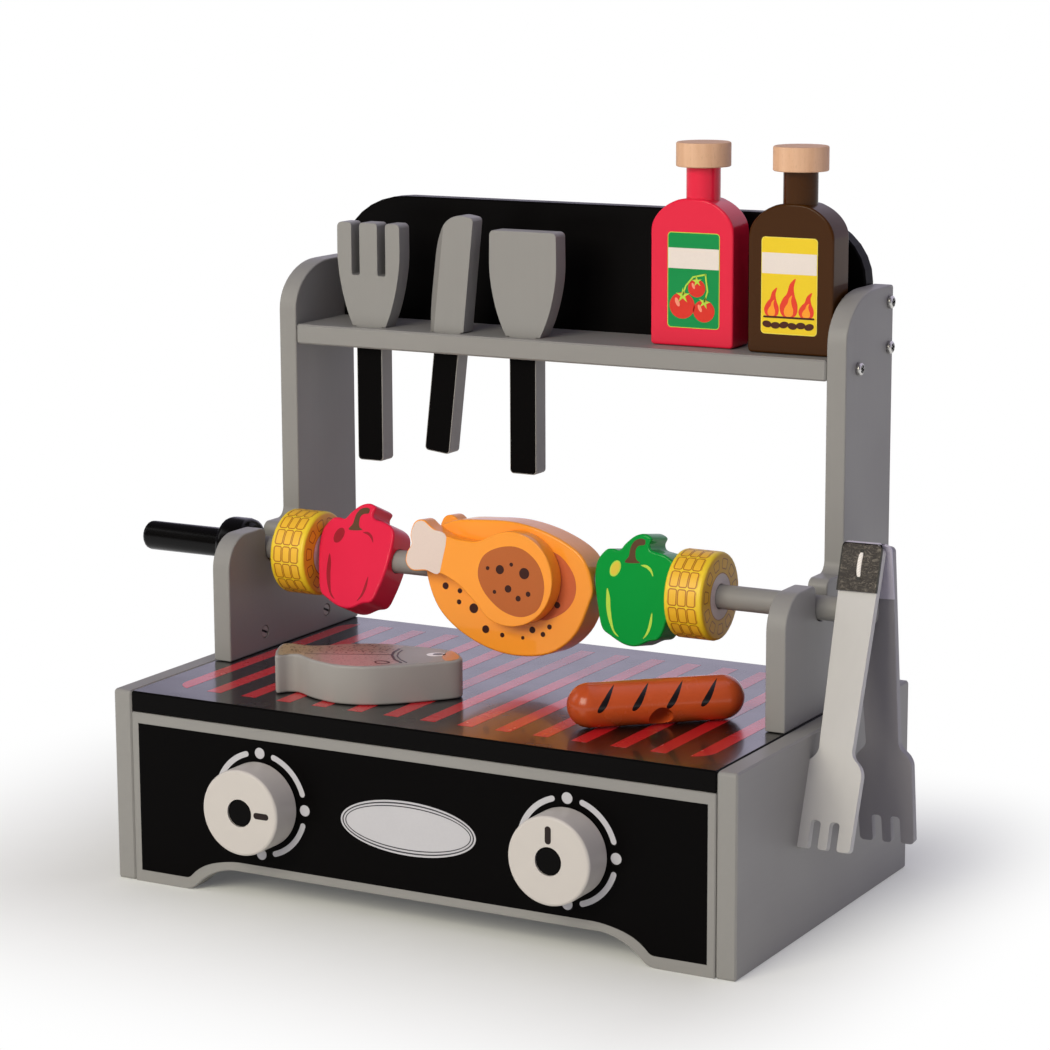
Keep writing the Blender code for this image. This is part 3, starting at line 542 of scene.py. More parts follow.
def printed(name, body, on, shapes, finish, layer=1):
    """Ink on a face, each shape an outline and its holes: a layer stands a hair above the one it is printed over."""
    film = bmesh.new()
    for loops in shapes:
        edges = []
        for loop in loops:
            corners = [film.verts.new((*point, -INK_SUNK)) for point in loop]
            for index, corner in enumerate(corners):
                edges.append(film.edges.new((corners[index - 1], corner)))
        if len(loops) > 1:
            bmesh.ops.triangle_fill(film, use_beauty=True, edges=edges)
        else:
            bmesh.ops.contextual_create(film, geom=edges)
    thickened(film, (0, 0, INK_HEIGHT * layer + INK_SUNK))
    return finished(name, body, film, finish, on)


def prism(outline, axis, low, high):
    """A closed solid: a flat outline carried along an axis, its points in the order of the other two axes."""
    right, up = [Vector([float(name == way) for way in "XYZ"]) for name in "XYZ" if name != axis]
    along = Vector([float(name == axis) for name in "XYZ"])
    solid = bmesh.new()
    corners = [solid.verts.new(right * across + up * height + along * low) for across, height in outline]
    edges = [solid.edges.new((corner, corners[index - 1])) for index, corner in enumerate(corners)]
    bmesh.ops.contextual_create(solid, geom=edges)
    return thickened(solid, along * (high - low))


def eased(solid, width, steps=3):
    """Rounds the sharp edges round the two flat faces, as sanding does."""
    edges = [edge for edge in solid.edges if edge.calc_face_angle(0) > 1.2]
    bmesh.ops.bevel(solid, geom=edges, offset=width, segments=steps, profile=0.5, affect="EDGES", material=-1)
    return solid


def rod(axis, low, high, radius, sides=32):
    """A round bar along an axis, used as a drill."""
    return prism(oval((0, 0), (radius, radius), sides), axis, low, high)


def block(size, lift=0.0, turn=0.0):
    """A block about Z, lifted and turned, used as a cutter."""
    shape = bmesh.new()
    bmesh.ops.create_cube(shape, size=1.0)
    bmesh.ops.scale(shape, verts=shape.verts, vec=size)
    bmesh.ops.translate(shape, verts=shape.verts, vec=(0, 0, lift))
    return turned(shape, turn, "Z")


def spun(profile, sides=40):
    """A turned solid about Z from (radius, height) points that start and end on the axis."""
    shape = bmesh.new()
    points = [shape.verts.new((radius, 0, height)) for radius, height in profile]
    edges = [shape.edges.new(pair) for pair in zip(points, points[1:])]
    bmesh.ops.spin(shape, geom=points + edges, cent=(0, 0, 0), axis=(0, 0, 1), angle=math.tau, steps=sides,
                   use_merge=True)
    bmesh.ops.remove_doubles(shape, verts=shape.verts[:], dist=0.0001)
    bmesh.ops.recalc_face_normals(shape, faces=shape.faces[:])
    return shape


def turned(shape, angle, axis):
    """Turns a shape about an axis by an angle in radians."""
    bmesh.ops.rotate(shape, verts=shape.verts, cent=(0, 0, 0), matrix=Matrix.Rotation(angle, 3, axis))
    return shape


def carved(shape, cutter, operation="DIFFERENCE"):
    """Cuts one closed shape out of another, or joins the two into one."""
    blank, tool = meshed("blank", shape), meshed("cutter", cutter)
    boolean = blank.modifiers.new("cut", "BOOLEAN")
    boolean.object = tool
    boolean.operation = operation
    result = solid_of(blank)
    bpy.data.objects.remove(tool)
    return result


def shape_uprights():
    """The two side boards: cheek with the spit's notch, hump and rounded post, bored for the barrel nuts."""
    outline = softened([
        (86.0, ON_TABLE), (86.0, 190.0, 20), (126.5, 190.0, 4), (126.5, 168.5, 7.4), (141.5, 168.5, 7.4),
        (141.5, 190.0, 5), (164.0, 190.0, 6.5), (164.0, 346.5, 28, 40), (231.0, 346.5, 2), (231.0, ON_TABLE),
    ], 12)
    for side, name in ((-1, "left_upright"), (1, "right_upright")):
        board = eased(prism(outline, "X", *sorted((side * 176.0, side * 188.0))), 1.0)
        for depth in CHEEK_BOLTS:
            drill = rod("X", *sorted((side * 173.0, side * 186.5)), 4.05)
            bmesh.ops.translate(drill, verts=drill.verts, vec=(0, depth, NUT_HEIGHT))
            board = carved(board, drill)
        shaped(name, board, grey_upright)


PEPPER = (
    (-122.7, 21.0), (-119.0, 25.3), (-113.5, 29.9), (-107.6, 31.5), (-102.8, 29.4), (-103.8, 25.4),
    (-101.8, 22.3), (-94.0, 20.7), (-88.2, 17.0), (-86.4, 10.0), (-87.3, -5.9), (-90.3, -19.5),
    (-93.6, -27.3), (-100.0, -29.4), (-107.5, -32.9), (-115.5, -32.5), (-124.5, -28.4), (-130.2, -24.3),
    (-133.7, -13.3), (-136.8, 1.0), (-136.7, 12.5), (-131.8, 20.0), (-127.3, 21.3))
CHICKEN = (
    (-60.6, -4.2), (-52.3, -22.6), (-37.1, -35.5), (-15.9, -44.2), (5.0, -46.2), (25.1, -42.0), (39.7, -30.0),
    (47.5, -12.6), (49.6, -0.5), (41.7, 16.2), (22.0, 26.6), (-2.3, 31.8), (-26.6, 31.3), (-43.1, 29.4),
    (-54.6, 23.6), (-60.8, 11.0))
DRUMSTICK_NECK = (
    (-20.5, -15.6), (-32.3, -6.1), (-44.4, -1.0), (-54.4, -0.3), (-63.5, -0.9), (-68.1, 3.5), (-67.4, 9.8),
    (-64.6, 14.5), (-65.5, 20.5), (-62.8, 27.8), (-57.0, 29.5), (-50.7, 25.4), (-41.0, 21.3), (-30.0, 19.7),
    (-19.5, 20.3))
FISH = (
    (-108.4, 33.2), (-113.5, 39.8), (-118.6, 49.5), (-122.2, 60.5), (-116.5, 64.5), (-106.0, 64.5),
    (-97.6, 69.0), (-86.0, 79.8), (-72.0, 87.7), (-52.0, 91.1), (-38.0, 92.9), (-24.0, 91.2), (-13.5, 82.0),
    (-9.8, 73.2), (-18.8, 60.5), (-33.0, 44.8), (-48.0, 33.2), (-66.0, 28.7), (-84.0, 33.0), (-97.5, 40.0),
    (-103.8, 38.7))
BOTTLE_SHOULDERS = (
    (25.3, 50.0), (25.3, 60.0), (25.2, 67.6), (24.0, 72.0), (21.3, 76.2), (17.2, 80.0), (12.0, 83.0), (6.0, 84.8),
    (-6.8, 84.8), (-13.2, 83.0), (-18.6, 80.0), (-22.8, 76.2), (-25.7, 72.0), (-27.0, 67.6), (-27.1, 60.0),
    (-27.1, 50.0))


def shape_food():
    """The peppers, the chicken with its two drumsticks, and the fish, sawn from thick board and sanded."""
    for (name, shift, lean), finish, slot in zip(PEPPERS, (pepper_red, pepper_green), ("red_paint", "green_paint")):
        outline = [(across + shift, up) for across, up in flowing(PEPPER, 6)]
        board = eased(prism(outline, "Y", -SLICE_HALF, SLICE_HALF), 1.4)
        shaped(name, carved(board, rod("X", -150 + shift, -70 + shift, SPIT_BORE)), finish, tilted(SPIT, lean))
    place = tilted(SPIT, CHICKEN_LEAN)
    bird = eased(prism(flowing(CHICKEN, 6), "Y", -SLICE_HALF, SLICE_HALF), 1.5)
    shaped("chicken_body", carved(bird, rod("X", -70, 60, SPIT_BORE)), chicken_orange, place)
    round_leg = arc((2.0, 0.0), (27.8, 27.6), 116, -136, 40)[1::4]
    for side, low in (("front", LEG_FRONT), ("back", 11.3)):
        leg = eased(prism(flowing([*DRUMSTICK_NECK, *round_leg], 6), "Y", low, low + 11.7), 0.7)
        shaped("chicken_drumstick_" + side, leg, chicken_orange, place)
    shaped("fish", eased(prism(flowing(FISH, 6), "Z", ON_TABLE, FISH_TOP), 1.5), grey_fish)


def shape_utensils():
    """The fork, the spatula and the knife, sawn out with crisp edges; the knife has a ground edge on its left,
    painted a darker grey as shade.
    """
    shelf, slot_top, slot_low, tip = 310.1, 373.0, 341.2, 2.2
    for name, middle, head in (
        ("fork", FORK_X, [(11.6, shelf), (22.3, 334.0, 22), (22.0, slot_top, 3), (11.85, slot_top, tip),
                          (11.85, slot_low, 1.3), (6.35, slot_low, 1.3), (6.35, slot_top, tip)]),
        ("spatula", SPATULA_X, [(11.6, shelf), (22.9, 333.0, 20), (22.4, 372.5, 3)]),
    ):
        outline = softened(mirrored([(9.0, 228.0, 2.5), (9.0, shelf)] + head), 8)
        outline = [(middle + across, height) for across, height in outline]
        board = eased(prism(outline, "Y", UTENSIL_FRONT, UTENSIL_BACK), 0.55, 2)
        shaped(name, board, grey_upright)
    outline = softened([
        (-1.9, -0.3), (-1.9, -75.0, 2.5), (-19.1, -75.0, 2.5), (-19.1, -2.7), (-23.3, -3.2),
        (-25.2, 14.0, 8), (-24.6, 59.5, 16, 9), (-13.0, 69.4, 5), (-0.6, 68.8, 2.5), (0.0, 0.0),
    ], 8)
    blade = eased(prism(outline, "Y", 0.0, KNIFE_THICKNESS), 0.5, 2)
    for depth, outward in ((0.0, -5.0), (KNIFE_THICKNESS, 5.0)):
        cut = bmesh.ops.bisect_plane(blade, geom=[*blade.verts, *blade.edges, *blade.faces], dist=0.0001,
                                     plane_co=(-20.2, depth, 0.0), plane_no=(-2.6, outward, 0.0), clear_outer=True)
        rim = [part for part in cut["geom_cut"] if isinstance(part, bmesh.types.BMEdge)]
        # The ground facet takes the second, darker grey: painted shade
        for ground in bmesh.ops.contextual_create(blade, geom=rim)["faces"]:
            ground.material_index = 1
    bmesh.ops.recalc_face_normals(blade, faces=blade.faces[:])
    knife = shaped("knife", blade, grey_upright, tilted(KNIFE_FOOT, roll=KNIFE_LEAN))
    knife.data.materials.append(grey_painted_shade_facet)


def shape_bottles():
    """Flat bottles with domed shoulders and a round neck, and their turned beech caps."""
    for name, place, finish, shift in (
        ("red", (85.1, 191.0, ON_SHELF), bottle_red, 1.1),
        ("brown", (149.3, 186.0, ON_SHELF), bottle_brown, 0.0),
    ):
        foot = softened([(-27.1, 60.0), (-27.1, 0.0, 2.2), (25.3, 0.0, 2.2), (25.3, 60.0)], 5)[1:-1]
        body = eased(prism(foot + flowing(BOTTLE_SHOULDERS, 5)[5:-9], "Y", -11.0, 11.0), 1.3)
        neck = spun([(0.0, 70.0), (9.9, 70.0), (9.9, 102.7), (5.0, 102.7), (5.0, 109.4), (0.0, 109.4)], 48)
        cap = spun([(0.0, 110.4), (5.3, 110.4), (5.3, 103.0), (15.3, 103.0), (15.85, 103.5), (15.85, 116.1),
                    (15.6, 116.7), (15.0, 117.0), (0.0, 117.0)], 56)
        for part in (neck, cap):
            bmesh.ops.translate(part, verts=part.verts, vec=(shift, 0, 0))
        shaped(name + "_bottle", carved(body, neck, "UNION"), finish, tilted(place))
        shaped(name + "_bottle_cap", cap, beech, tilted(place))


def shape_tongs():
    """Both arms of the tongs, thin boards with a forked end, each at its own lean; the rear one is painted darker as
    shade.
    """
    for node, finish, length, low, on in (
        ("tongs_front_arm", grey_tongs, 168.3, -ARM_THICKNESS, tilted(FRONT_TOP, *FRONT_TILT)),
        ("tongs_rear_arm", grey_painted_shade_rear_arm, 172.3, STRAP_THICKNESS + 2 * STRAP_GAP, tilted(REAR_TOP, *REAR_TILT)),
    ):
        slot_top = 15.6 - length
        arm = softened(mirrored([
            (2.8, -length, 1.7), (2.8, slot_top, 2.0), (8.4, slot_top, 2.0), (8.4, -length, 1.7),
            (16.4, -length, 2.6), (17.3, -122.6, 4), (9.9, -115.6, 3), (STRAP_HALF, 0.0, 3),
        ]), 8)
        shaped(node, eased(prism(arm, "Y", low, low + ARM_THICKNESS), 0.45, 2), finish, on)


def shape_knobs():
    """Turned knobs with a crisp flat face, bored for the plug and the screw."""
    rim = arc((23.2, 20.2), (1.8, 1.8), 0, 90, 5)
    profile = [(3.3, 0.5), (23.8, 0.5), (25.0, 1.7), *rim, (8.05, 22.0), (8.05, 17.7), (6.3, 17.7), (6.3, 14.1),
               (3.3, 14.1), (3.3, 0.5)]
    for side, middle in (("left", -KNOB_X), ("right", KNOB_X)):
        shaped(side + "_knob", spun(profile, 72), knob_white, face((middle, 0.0, KNOB_HEIGHT)))


def shape_sausage():
    """A round-ended sausage with the spit's slanting hole through it."""
    half, radii = 50.85, (SAUSAGE_RADIUS, SAUSAGE_RADIUS)
    profile = [(0.0, half), *arc((0.0, half - SAUSAGE_RADIUS), radii, 90, 0, 10)[1:],
               *arc((0.0, SAUSAGE_RADIUS - half), radii, 0, -90, 10)[:-1], (0.0, -half)]
    body = turned(spun(profile, 48), math.pi / 2, "Y")
    drill = turned(rod("Y", -21.0, 21.0, 7.0, 40), math.radians(37.0), "X")
    place = Matrix.Translation(in_frame(SAUSAGE)) @ Matrix.Rotation(math.radians(SAUSAGE_TURN), 4, "Z")
    shaped("sausage", carved(body, drill), sausage_paint(), place @ Matrix.Scale(MM, 4))


# Paints: the streaks of a board's satin lacquer run along it, and rounder pieces get wider, softer clouds
GREY = "908F8B"
grey_upright = lacquer("satin_grey_lacquer_upright", GREY, 0.42, grain=(260, 260, 11))
# A darker grey for the knife's ground facet: painted shade
grey_painted_shade_facet = lacquer("satin_grey_lacquer_shade_facet", "7C7A76", 0.42, grain=(260, 260, 11))
grey_across = lacquer("satin_grey_lacquer_across", GREY, 0.42, grain=(11, 260, 260))
grey_deep = lacquer("satin_grey_lacquer_deep", GREY, 0.42, grain=(260, 11, 260))
grey_tongs = lacquer("satin_pale_grey_lacquer", "C4C3BF", 0.44, grain=(240, 240, 12))
# The rear arm's darker grey is painted shade, as it stands behind the front arm
grey_painted_shade_rear_arm = lacquer("satin_grey_lacquer_painted_shade_rear_arm", "939194", 0.44, grain=(240, 240, 12))
grey_fish = lacquer("satin_fish_grey", "9C9994", 0.4, grain=(60, 60, 60))
black_satin = lacquer("satin_black_lacquer", "0B0A0A", 0.36, grain=(11, 200, 200), show=0.2, shine=0.04)
black_turned = lacquer("turned_black_lacquer", "090808", 0.24, grain=(11, 200, 200), show=0.2, shine=0.15)
knob_white = lacquer("satin_white_lacquer", "C9C4BD", 0.36, grain=(70, 70, 70), show=0.03)
pepper_red = lacquer("satin_red_paint", "E42648", 0.36, grain=(60, 60, 30), show=0.04, shine=0.08, coat=0.15)
pepper_green = lacquer("satin_green_paint", "00983A", 0.36, grain=(60, 60, 30), shine=0.08, coat=0.25)
chicken_orange = lacquer("satin_orange_paint", "FFA032", 0.36, grain=(30, 60, 60), show=0.04, shine=0.08, coat=0.55)
bottle_red = lacquer("gloss_red_paint", "E32240", 0.3, grain=(9, 9, 9), show=0.02, ripple=0.0002, shine=0.1,
                     coat=0.3)
bottle_brown = lacquer("gloss_brown_paint", "422508", 0.3, grain=(9, 9, 9), show=0.03, ripple=0.0002, shine=0.04,
                       coat=0.2)
nut_grey = lacquer("painted_over_nut", "A6A39D", 0.34, grain=(200, 200, 200))
# Black edge paint for the strap, also used as painted shade in screw recesses and stitch holes
black_paint_and_shade = lacquer("black_edge_and_shade_paint", "0A0909", 0.4, grain=(300, 300, 300), show=0.2, ripple=0.02)
beech = turned_beech()
zinc = zinc_plate()

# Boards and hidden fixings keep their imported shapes
KEPT = {
    "left_side_panel": grey_deep, "right_side_panel": grey_deep, "front_panel": grey_across,
    "back_panel": grey_across, "shelf": grey_across, "grill_top": black_satin, "back_board": black_satin,
    "left_knob_plug": black_satin, "right_knob_plug": black_satin,
}
for node, item in frame["nodes"].items():
    if node.endswith(("_knob_nut", "_knob_screw", "_bolt_front", "_bolt_back")):
        KEPT[node] = zinc
    if node in KEPT:
        for place in item.material_slots:
            place.material = KEPT[node]

# The rod and the corn keep them too, with their rounded faces shaded soft
for node, finish, slot in (
    ("spit_rod", grey_across, "grey_lacquer"),
    ("spit_collar", black_turned, "black_lacquer"),
    ("spit_handle", black_turned, "black_lacquer"),
    ("corn_left", corn_print("printed_sweetcorn_left", -150.0), "corn_paint"),
    ("corn_right", corn_print("printed_sweetcorn_right", 114.0), "corn_paint"),
):
    dressed(node, finish)

black_ink = ink("black_screen_ink", "080707", 0.4, 0.2, shine=0.03)
table_ink = ink("gloss_black_table_ink", "0A0909", 0.25, 0.2, shine=0.95, coat=0.3)
mark_ink = ink("pale_grey_screen_ink", "C3C3C6", 0.44)
line_ink = ink("dark_line_ink", "3A3A3E", 0.44)
glow_ink = ink("glowing_red_screen_ink", "CA1E28", 0.26, 0.06, shine=0.95, coat=0.3)
dark_red_ink = ink("dark_red_ink", "9A021C")
stem_ink = ink("stem_brown_ink", "5A3B22")
lime_ink = ink("lime_ink", "B6DC48")
yellow_ink = ink("mustard_yellow_ink", "DCC63E")
bone_ink = ink("bone_cream_ink", "E4D2C6")
roast_ink = ink("roast_brown_ink", "C8643A")
leg_roast_ink = ink("leg_roast_ink", "B8642F")
pepper_dot_ink = ink("peppercorn_ink", "3A1810")
cream_ink = ink("cream_ink", "E6DCD2")
pointer_ink = ink("pointer_brown_black_ink", "1E100C")


def print_front():
    """The black print on the front panel, its dials and its bare oval badge."""
    front = face((0, 0, 0))
    right = [(125.0, 21.0, 11), (142.4, 14.3, 6), (149.6, 7.0, 2), (183.0, 7.0), (183.0, 95.4)]
    left = [(-corner[0], *corner[1:]) for corner in reversed(right)]
    printed("front_black_print", "grill", front, [[softened(right + left, 8)]], black_ink)
    ring, width, dot = 29.8, 3.3, 3.25
    for middle, side in ((-KNOB_X, "left"), (KNOB_X, "right")):
        shapes = []
        for turn in range(0, 360, 90):
            at = arc((0, 0), (ring, ring), turn, turn, 1)[0]
            shapes.append([oval((middle + at[0], KNOB_HEIGHT + at[1]), (dot, dot), 24)])
            shapes.append([stroke(arc((middle, KNOB_HEIGHT), (ring, ring), turn + 18, turn + 72, 14), width)])
        printed(side + "_dial_marks", "grill", front, shapes, mark_ink, 2)
    badge, *lines = [oval((-1.5, 56.8), (43.7 - inset, 15.6 - inset), 72) for inset in (0, 1.1, 1.9, 3.0, 3.6)]
    printed("badge_oval", "grill", front, [[badge]], mark_ink, 2)
    printed("badge_lines", "grill", front, [lines[:2], lines[2:]], line_ink, 3)


def print_grill_bars():
    """Fifteen glowing bars across the table, the outer two tapering round the print's corners."""
    top = face((0, 0, TABLE_TOP), (1, 0, 0), (0, 1, 0))
    near, far, half, corner, pitch, last = 20.0, 212.5, 4.8, 14.0, 23.9, 7
    film = slab(-187.0, 187.0, 1.2, 229.8, 0.6, 1)
    printed("table_film", "grill", top, [[film]], table_ink)
    start = math.degrees(math.acos((corner - 2 * half) / corner))
    ends = arc((last * pitch + half - corner, near + corner), (corner, corner), 360 - start, 360, 6)
    ends += [(across, near + far - up) for across, up in reversed(ends)]
    shapes = [[[(way * across, up) for across, up in ends]] for way in (-1, 1)]
    for middle in range(1 - last, last):
        left, right = middle * pitch - half, middle * pitch + half
        shapes.insert(-1, [[(left, near), (right, near), (right, far), (left, far)]])
    printed("grill_bars", "grill", top, shapes, glow_ink, 2)


def print_knobs():
    """The pointer bar on each knob: the left one is turned to the right, and the right one up."""
    for side, middle, turn in (("left", -KNOB_X, 0.0), ("right", KNOB_X, math.pi / 2)):
        bar = [tuple(Matrix.Rotation(turn, 2) @ Vector(point)) for point in slab(9.6, 19.6, -1.85, 1.85, 1.8)]
        printed(side + "_pointer", side + "_knob", face((middle, KNOB_FRONT, KNOB_HEIGHT)), [[bar]], pointer_ink)


def print_handles():
    """Black paint on the front and back of the three utensils' handles."""
    shape = slab(-8.4, 8.4, 228.6, 309.4, 2.0)
    for name, middle in (("fork", FORK_X), ("spatula", SPATULA_X)):
        for side, depth, right in (("front", UTENSIL_FRONT, 1), ("back", UTENSIL_BACK, -1)):
            printed(f"{name}_handle_{side}_paint", name, face((middle, depth, 0), (right, 0, 0)), [[shape]],
                    black_ink)
    lean = math.radians(KNIFE_LEAN)
    right, up = Vector((math.cos(lean), 0, -math.sin(lean))), Vector((math.sin(lean), 0, math.cos(lean)))
    shape = slab(-18.5, -2.5, -74.4, -3.4, 2.0)
    mirror = [(-across, height) for across, height in reversed(shape)]
    foot = Vector(KNIFE_FOOT)
    for side, plane, outline in (
        ("front", face(foot, right, up), shape),
        ("back", face(foot + Vector((0, KNIFE_THICKNESS, 0)), -right, up), mirror),
    ):
        printed(f"knife_handle_{side}_paint", "knife", plane, [[outline]], black_ink)


def print_slice(body, lean, shift, prints):
    """Prints on the front of a slice of food and, mirrored, on its back: (word, depth, shapes, ink, layer)."""
    for side, flip in (("front", 1), ("back", -1)):
        for word, depth, shapes, finish, layer in prints:
            plane = tilted(SPIT, lean) @ Matrix.Translation((shift, depth * flip, 0))
            plane = plane @ Matrix.Rotation(math.pi / 2, 4, "X") @ Matrix.Scale(flip, 4, (0, 0, 1))
            item = printed(f"{body}_{word}_{side}", body, plane, shapes, finish, layer)
            if flip < 0:
                item.data.flip_normals()


def print_peppers():
    """The same drawing on both peppers: a stem, a round shine and three curved lines."""
    stem = [(-118.2, 14.2), (-116.3, 17.8), (-115.7, 21.4), (-115.0, 24.4), (-112.9, 27.2), (-109.5, 28.6),
            (-106.9, 28.2), (-106.4, 26.8), (-107.0, 25.2), (-110.1, 24.5), (-111.7, 23.1), (-112.2, 21.0),
            (-112.0, 18.3), (-111.0, 16.2), (-109.1, 14.7)]
    crescent = [(-128.4, -1.4), (-126.2, -6.4), (-125.2, -12.7), (-123.6, -19.9), (-121.8, -25.0),
                (-118.6, -28.6), (-121.9, -26.6), (-125.1, -21.3), (-127.3, -15.4), (-128.4, -9.1)]
    upper = [(-108.0, 13.4), (-105.0, 14.0), (-102.3, 12.8), (-100.5, 10.4), (-99.9, 7.8), (-101.8, 10.2),
             (-104.3, 12.1)]
    lower = [(-98.7, -12.8), (-98.3, -17.0), (-98.8, -21.2), (-100.3, -25.2), (-103.2, -28.2), (-101.4, -24.5),
             (-100.3, -20.6), (-99.7, -16.8)]
    shine, middle = [[oval((-124.2, 10.2), radii, 30, -22)] for radii in ((3.2, 4.9), (2.5, 4.1))]
    lines = [*([flowing(line)] for line in (crescent, upper, lower)), shine]
    for (name, shift, lean), line_colour in zip(PEPPERS, (dark_red_ink, lime_ink)):
        prints = [("lines", -SLICE_HALF, lines, line_colour, 1),
                  ("stem", -SLICE_HALF, [[flowing(stem)]], stem_ink, 1),
                  ("shine", -SLICE_HALF, [middle], yellow_ink, 2)]
        print_slice(name, lean, shift, prints[:2] if name == "red_pepper" else prints)


def print_chicken():
    """Cream bone end, roast patches and peppercorns on both sides of the roast chicken."""
    bone = [(-41.0, 20.6), (-50.6, 24.6), (-57.0, 28.75), (-62.3, 27.2), (-64.8, 20.5), (-63.95, 14.5), (-66.7, 9.7),
            (-67.35, 3.8), (-63.2, -0.2), (-54.4, 0.4), (-44.5, -0.25)]
    edge = [(-43.6, 4.6), (-42.5, 10.2), (-41.4, 15.5)]
    leg_dots = ((-12.6, 5.2, 1.2), (-4.5, 5.1, 2.7), (2.9, 8.7, 1.2), (11.6, 4.3, 3.3), (1.4, -5.6, 2.2),
                (-7.5, -8.2, 1.2), (8.3, -10.6, 1.7), (14.7, -7.4, 1.55))
    body_dots = ((-47.2, -9.7, 2.05), (-37.4, -11.7, 1.5), (-37.7, -18.3, 1.5), (-27.6, -21.1, 2.9),
                 (-19.1, -32.6, 2.35), (-7.9, -34.9, 1.4), (5.8, -35.1, 1.1), (11.9, -29.8, 1.95),
                 (19.0, -31.7, 1.5), (23.1, -26.9, 1.5), (27.6, -13.7, 1.9))
    patch = [(2.0, -24.0), (17.8, -23.6), (24.2, -21.9), (32.3, -17.4), (37.5, -11.1), (39.4, -3.6), (37.7, 4.4),
             (31.9, 12.0), (24.3, 16.6), (8.0, 19.5), (-8.0, 14.0), (-14.0, 0.0), (-9.0, -15.0)]
    roast = [(-2.9, 18.6), (9.6, 18.3), (20.5, 10.4), (25.0, -2.2), (22.1, -14.7), (14.0, -20.4), (4.8, -20.9),
             (-5.6, -16.7), (-15.3, -7.8), (-19.1, 2.5), (-15.0, 12.9)]
    leg_corns, body_corns = [[[oval((across, up), (radius, radius), 18)] for across, up, radius in dots]
                             for dots in (leg_dots, body_dots)]
    print_slice("chicken", CHICKEN_LEAN, 0.0, [
        ("bone", LEG_FRONT, [[flowing(bone, 5)[:-4] + edge]], bone_ink, 1),
        ("leg_roast", LEG_FRONT, [[flowing(roast)]], leg_roast_ink, 1),
        ("leg_peppercorns", LEG_FRONT, leg_corns, pepper_dot_ink, 2),
        ("body_roast", -SLICE_HALF, [[flowing(patch)]], roast_ink, 1),
        ("body_peppercorns", -SLICE_HALF, body_corns, pepper_dot_ink, 2),
    ])


def print_fish():
    """The trout's printed skin, side line, gills, fin, eye and nose, all on its upper face."""
    skin = [(-107.6, 35.0), (-112.0, 41.0), (-117.0, 50.2), (-120.2, 60.0), (-115.8, 63.0), (-105.2, 63.0),
            (-96.7, 67.8), (-85.2, 78.5), (-71.5, 86.1), (-57.0, 88.6), (-54.2, 79.5), (-52.6, 71.8), (-49.0, 64.0),
            (-42.2, 55.6), (-36.5, 50.0), (-48.6, 34.8), (-66.1, 30.4), (-83.6, 34.4), (-97.0, 41.6), (-103.0, 40.4)]
    side_line = [(-95.8, 44.2), (-84.0, 49.8), (-74.6, 53.9), (-62.0, 60.1), (-51.0, 65.2)]
    gill = [(-54.0, 79.8), (-52.9, 71.8), (-49.4, 64.1), (-42.6, 55.8), (-35.6, 51.2)]
    fine_gill = [(-51.0, 78.2), (-49.4, 71.3), (-46.0, 64.2), (-39.6, 57.4), (-32.9, 53.0)]
    fin = [(-50.3, 46.7), (-48.2, 43.6), (-45.1, 42.6), (-41.6, 45.2), (-41.2, 48.6), (-44.4, 50.3), (-48.6, 49.8)]
    inside = [(-49.2, 46.7), (-47.6, 44.4), (-45.1, 43.7), (-42.7, 45.6), (-42.4, 48.2), (-44.8, 49.2),
              (-48.0, 48.8)]
    nose = [(-24.6, 89.8), (-25.0, 82.9), (-21.6, 73.6), (-15.2, 67.4), (-11.6, 73.2), (-14.9, 81.2)]
    lines = [*([stroke(*line)] for line in ((side_line, 0.7), (gill, 1.5), (fine_gill, 0.8))),
             [flowing(fin), flowing(inside)]]
    for word, shapes, finish, layer, slot in (
        ("skin", [[flowing(skin)]], trout_print(), 1, "fish_paint"),
        ("lines", lines, ink("trout_line_ink", "3A2A2A", 0.3), 2, None),
        ("eye_white", [[oval((-28.2, 78.2), (5.6, 4.3), 32, 38)]], ink("eye_white_ink", "F2F0EE", 0.3), 1, None),
        ("pupil", [[oval((-27.2, 79.0), (3.3, 2.4), 28, 38)]], ink("pupil_grey_ink", "5A5654", 0.3), 2, None),
        ("nose", [[flowing(nose)]], ink("nose_orange_ink", "CF8A5C", 0.3), 1, None),
    ):
        printed("trout_" + word, "fish", face((0, 0, FISH_TOP), (1, 0, 0), (0, 1, 0)), shapes, finish, layer)


def label(name, body, depth, edges, grounds, band, pictures):
    """A bottle's label: its rounded ground with a hairline border, a bare pale band and a picture."""
    left, right, low, high = edges
    inset = (left + 0.4, right - 0.4)
    border, ground = grounds
    for layer, (word, shapes, finish) in zip((1, 2, 3, 3, 4, 5), (
        ("border", [slab(left, right, low, high, 2.2)], border),
        ("ground", [slab(*inset, low + 0.4, high - 0.4, 1.9)], ground),
        ("band", [slab(*inset, *band, 0.05, 1)], cream_ink),
        *pictures,
    )):
        printed(f"{name}_{word}", body, face((0, depth, 0)), [[shape] for shape in shapes], finish, layer)


def star(centre, long, short, turn):
    """A leafy star of five points, such as the green crown of a tomato."""
    outline = []
    for index in range(10):
        reach = short if index % 2 else long
        outline += arc(centre, (reach, reach), turn + index * 36, turn + index * 36, 1)[:1]
    return outline


def flame(centre, width, height):
    """One tongue of fire with its tip bent to the right."""
    shape = ((0.0, 0.0), (0.42, 0.08), (0.5, 0.32), (0.34, 0.56), (0.28, 0.78), (0.38, 1.0), (0.06, 0.86),
             (-0.1, 0.62), (-0.3, 0.5), (-0.5, 0.28), (-0.38, 0.07))
    return flowing([(centre[0] + across * width, centre[1] + up * height) for across, up in shape], 4)


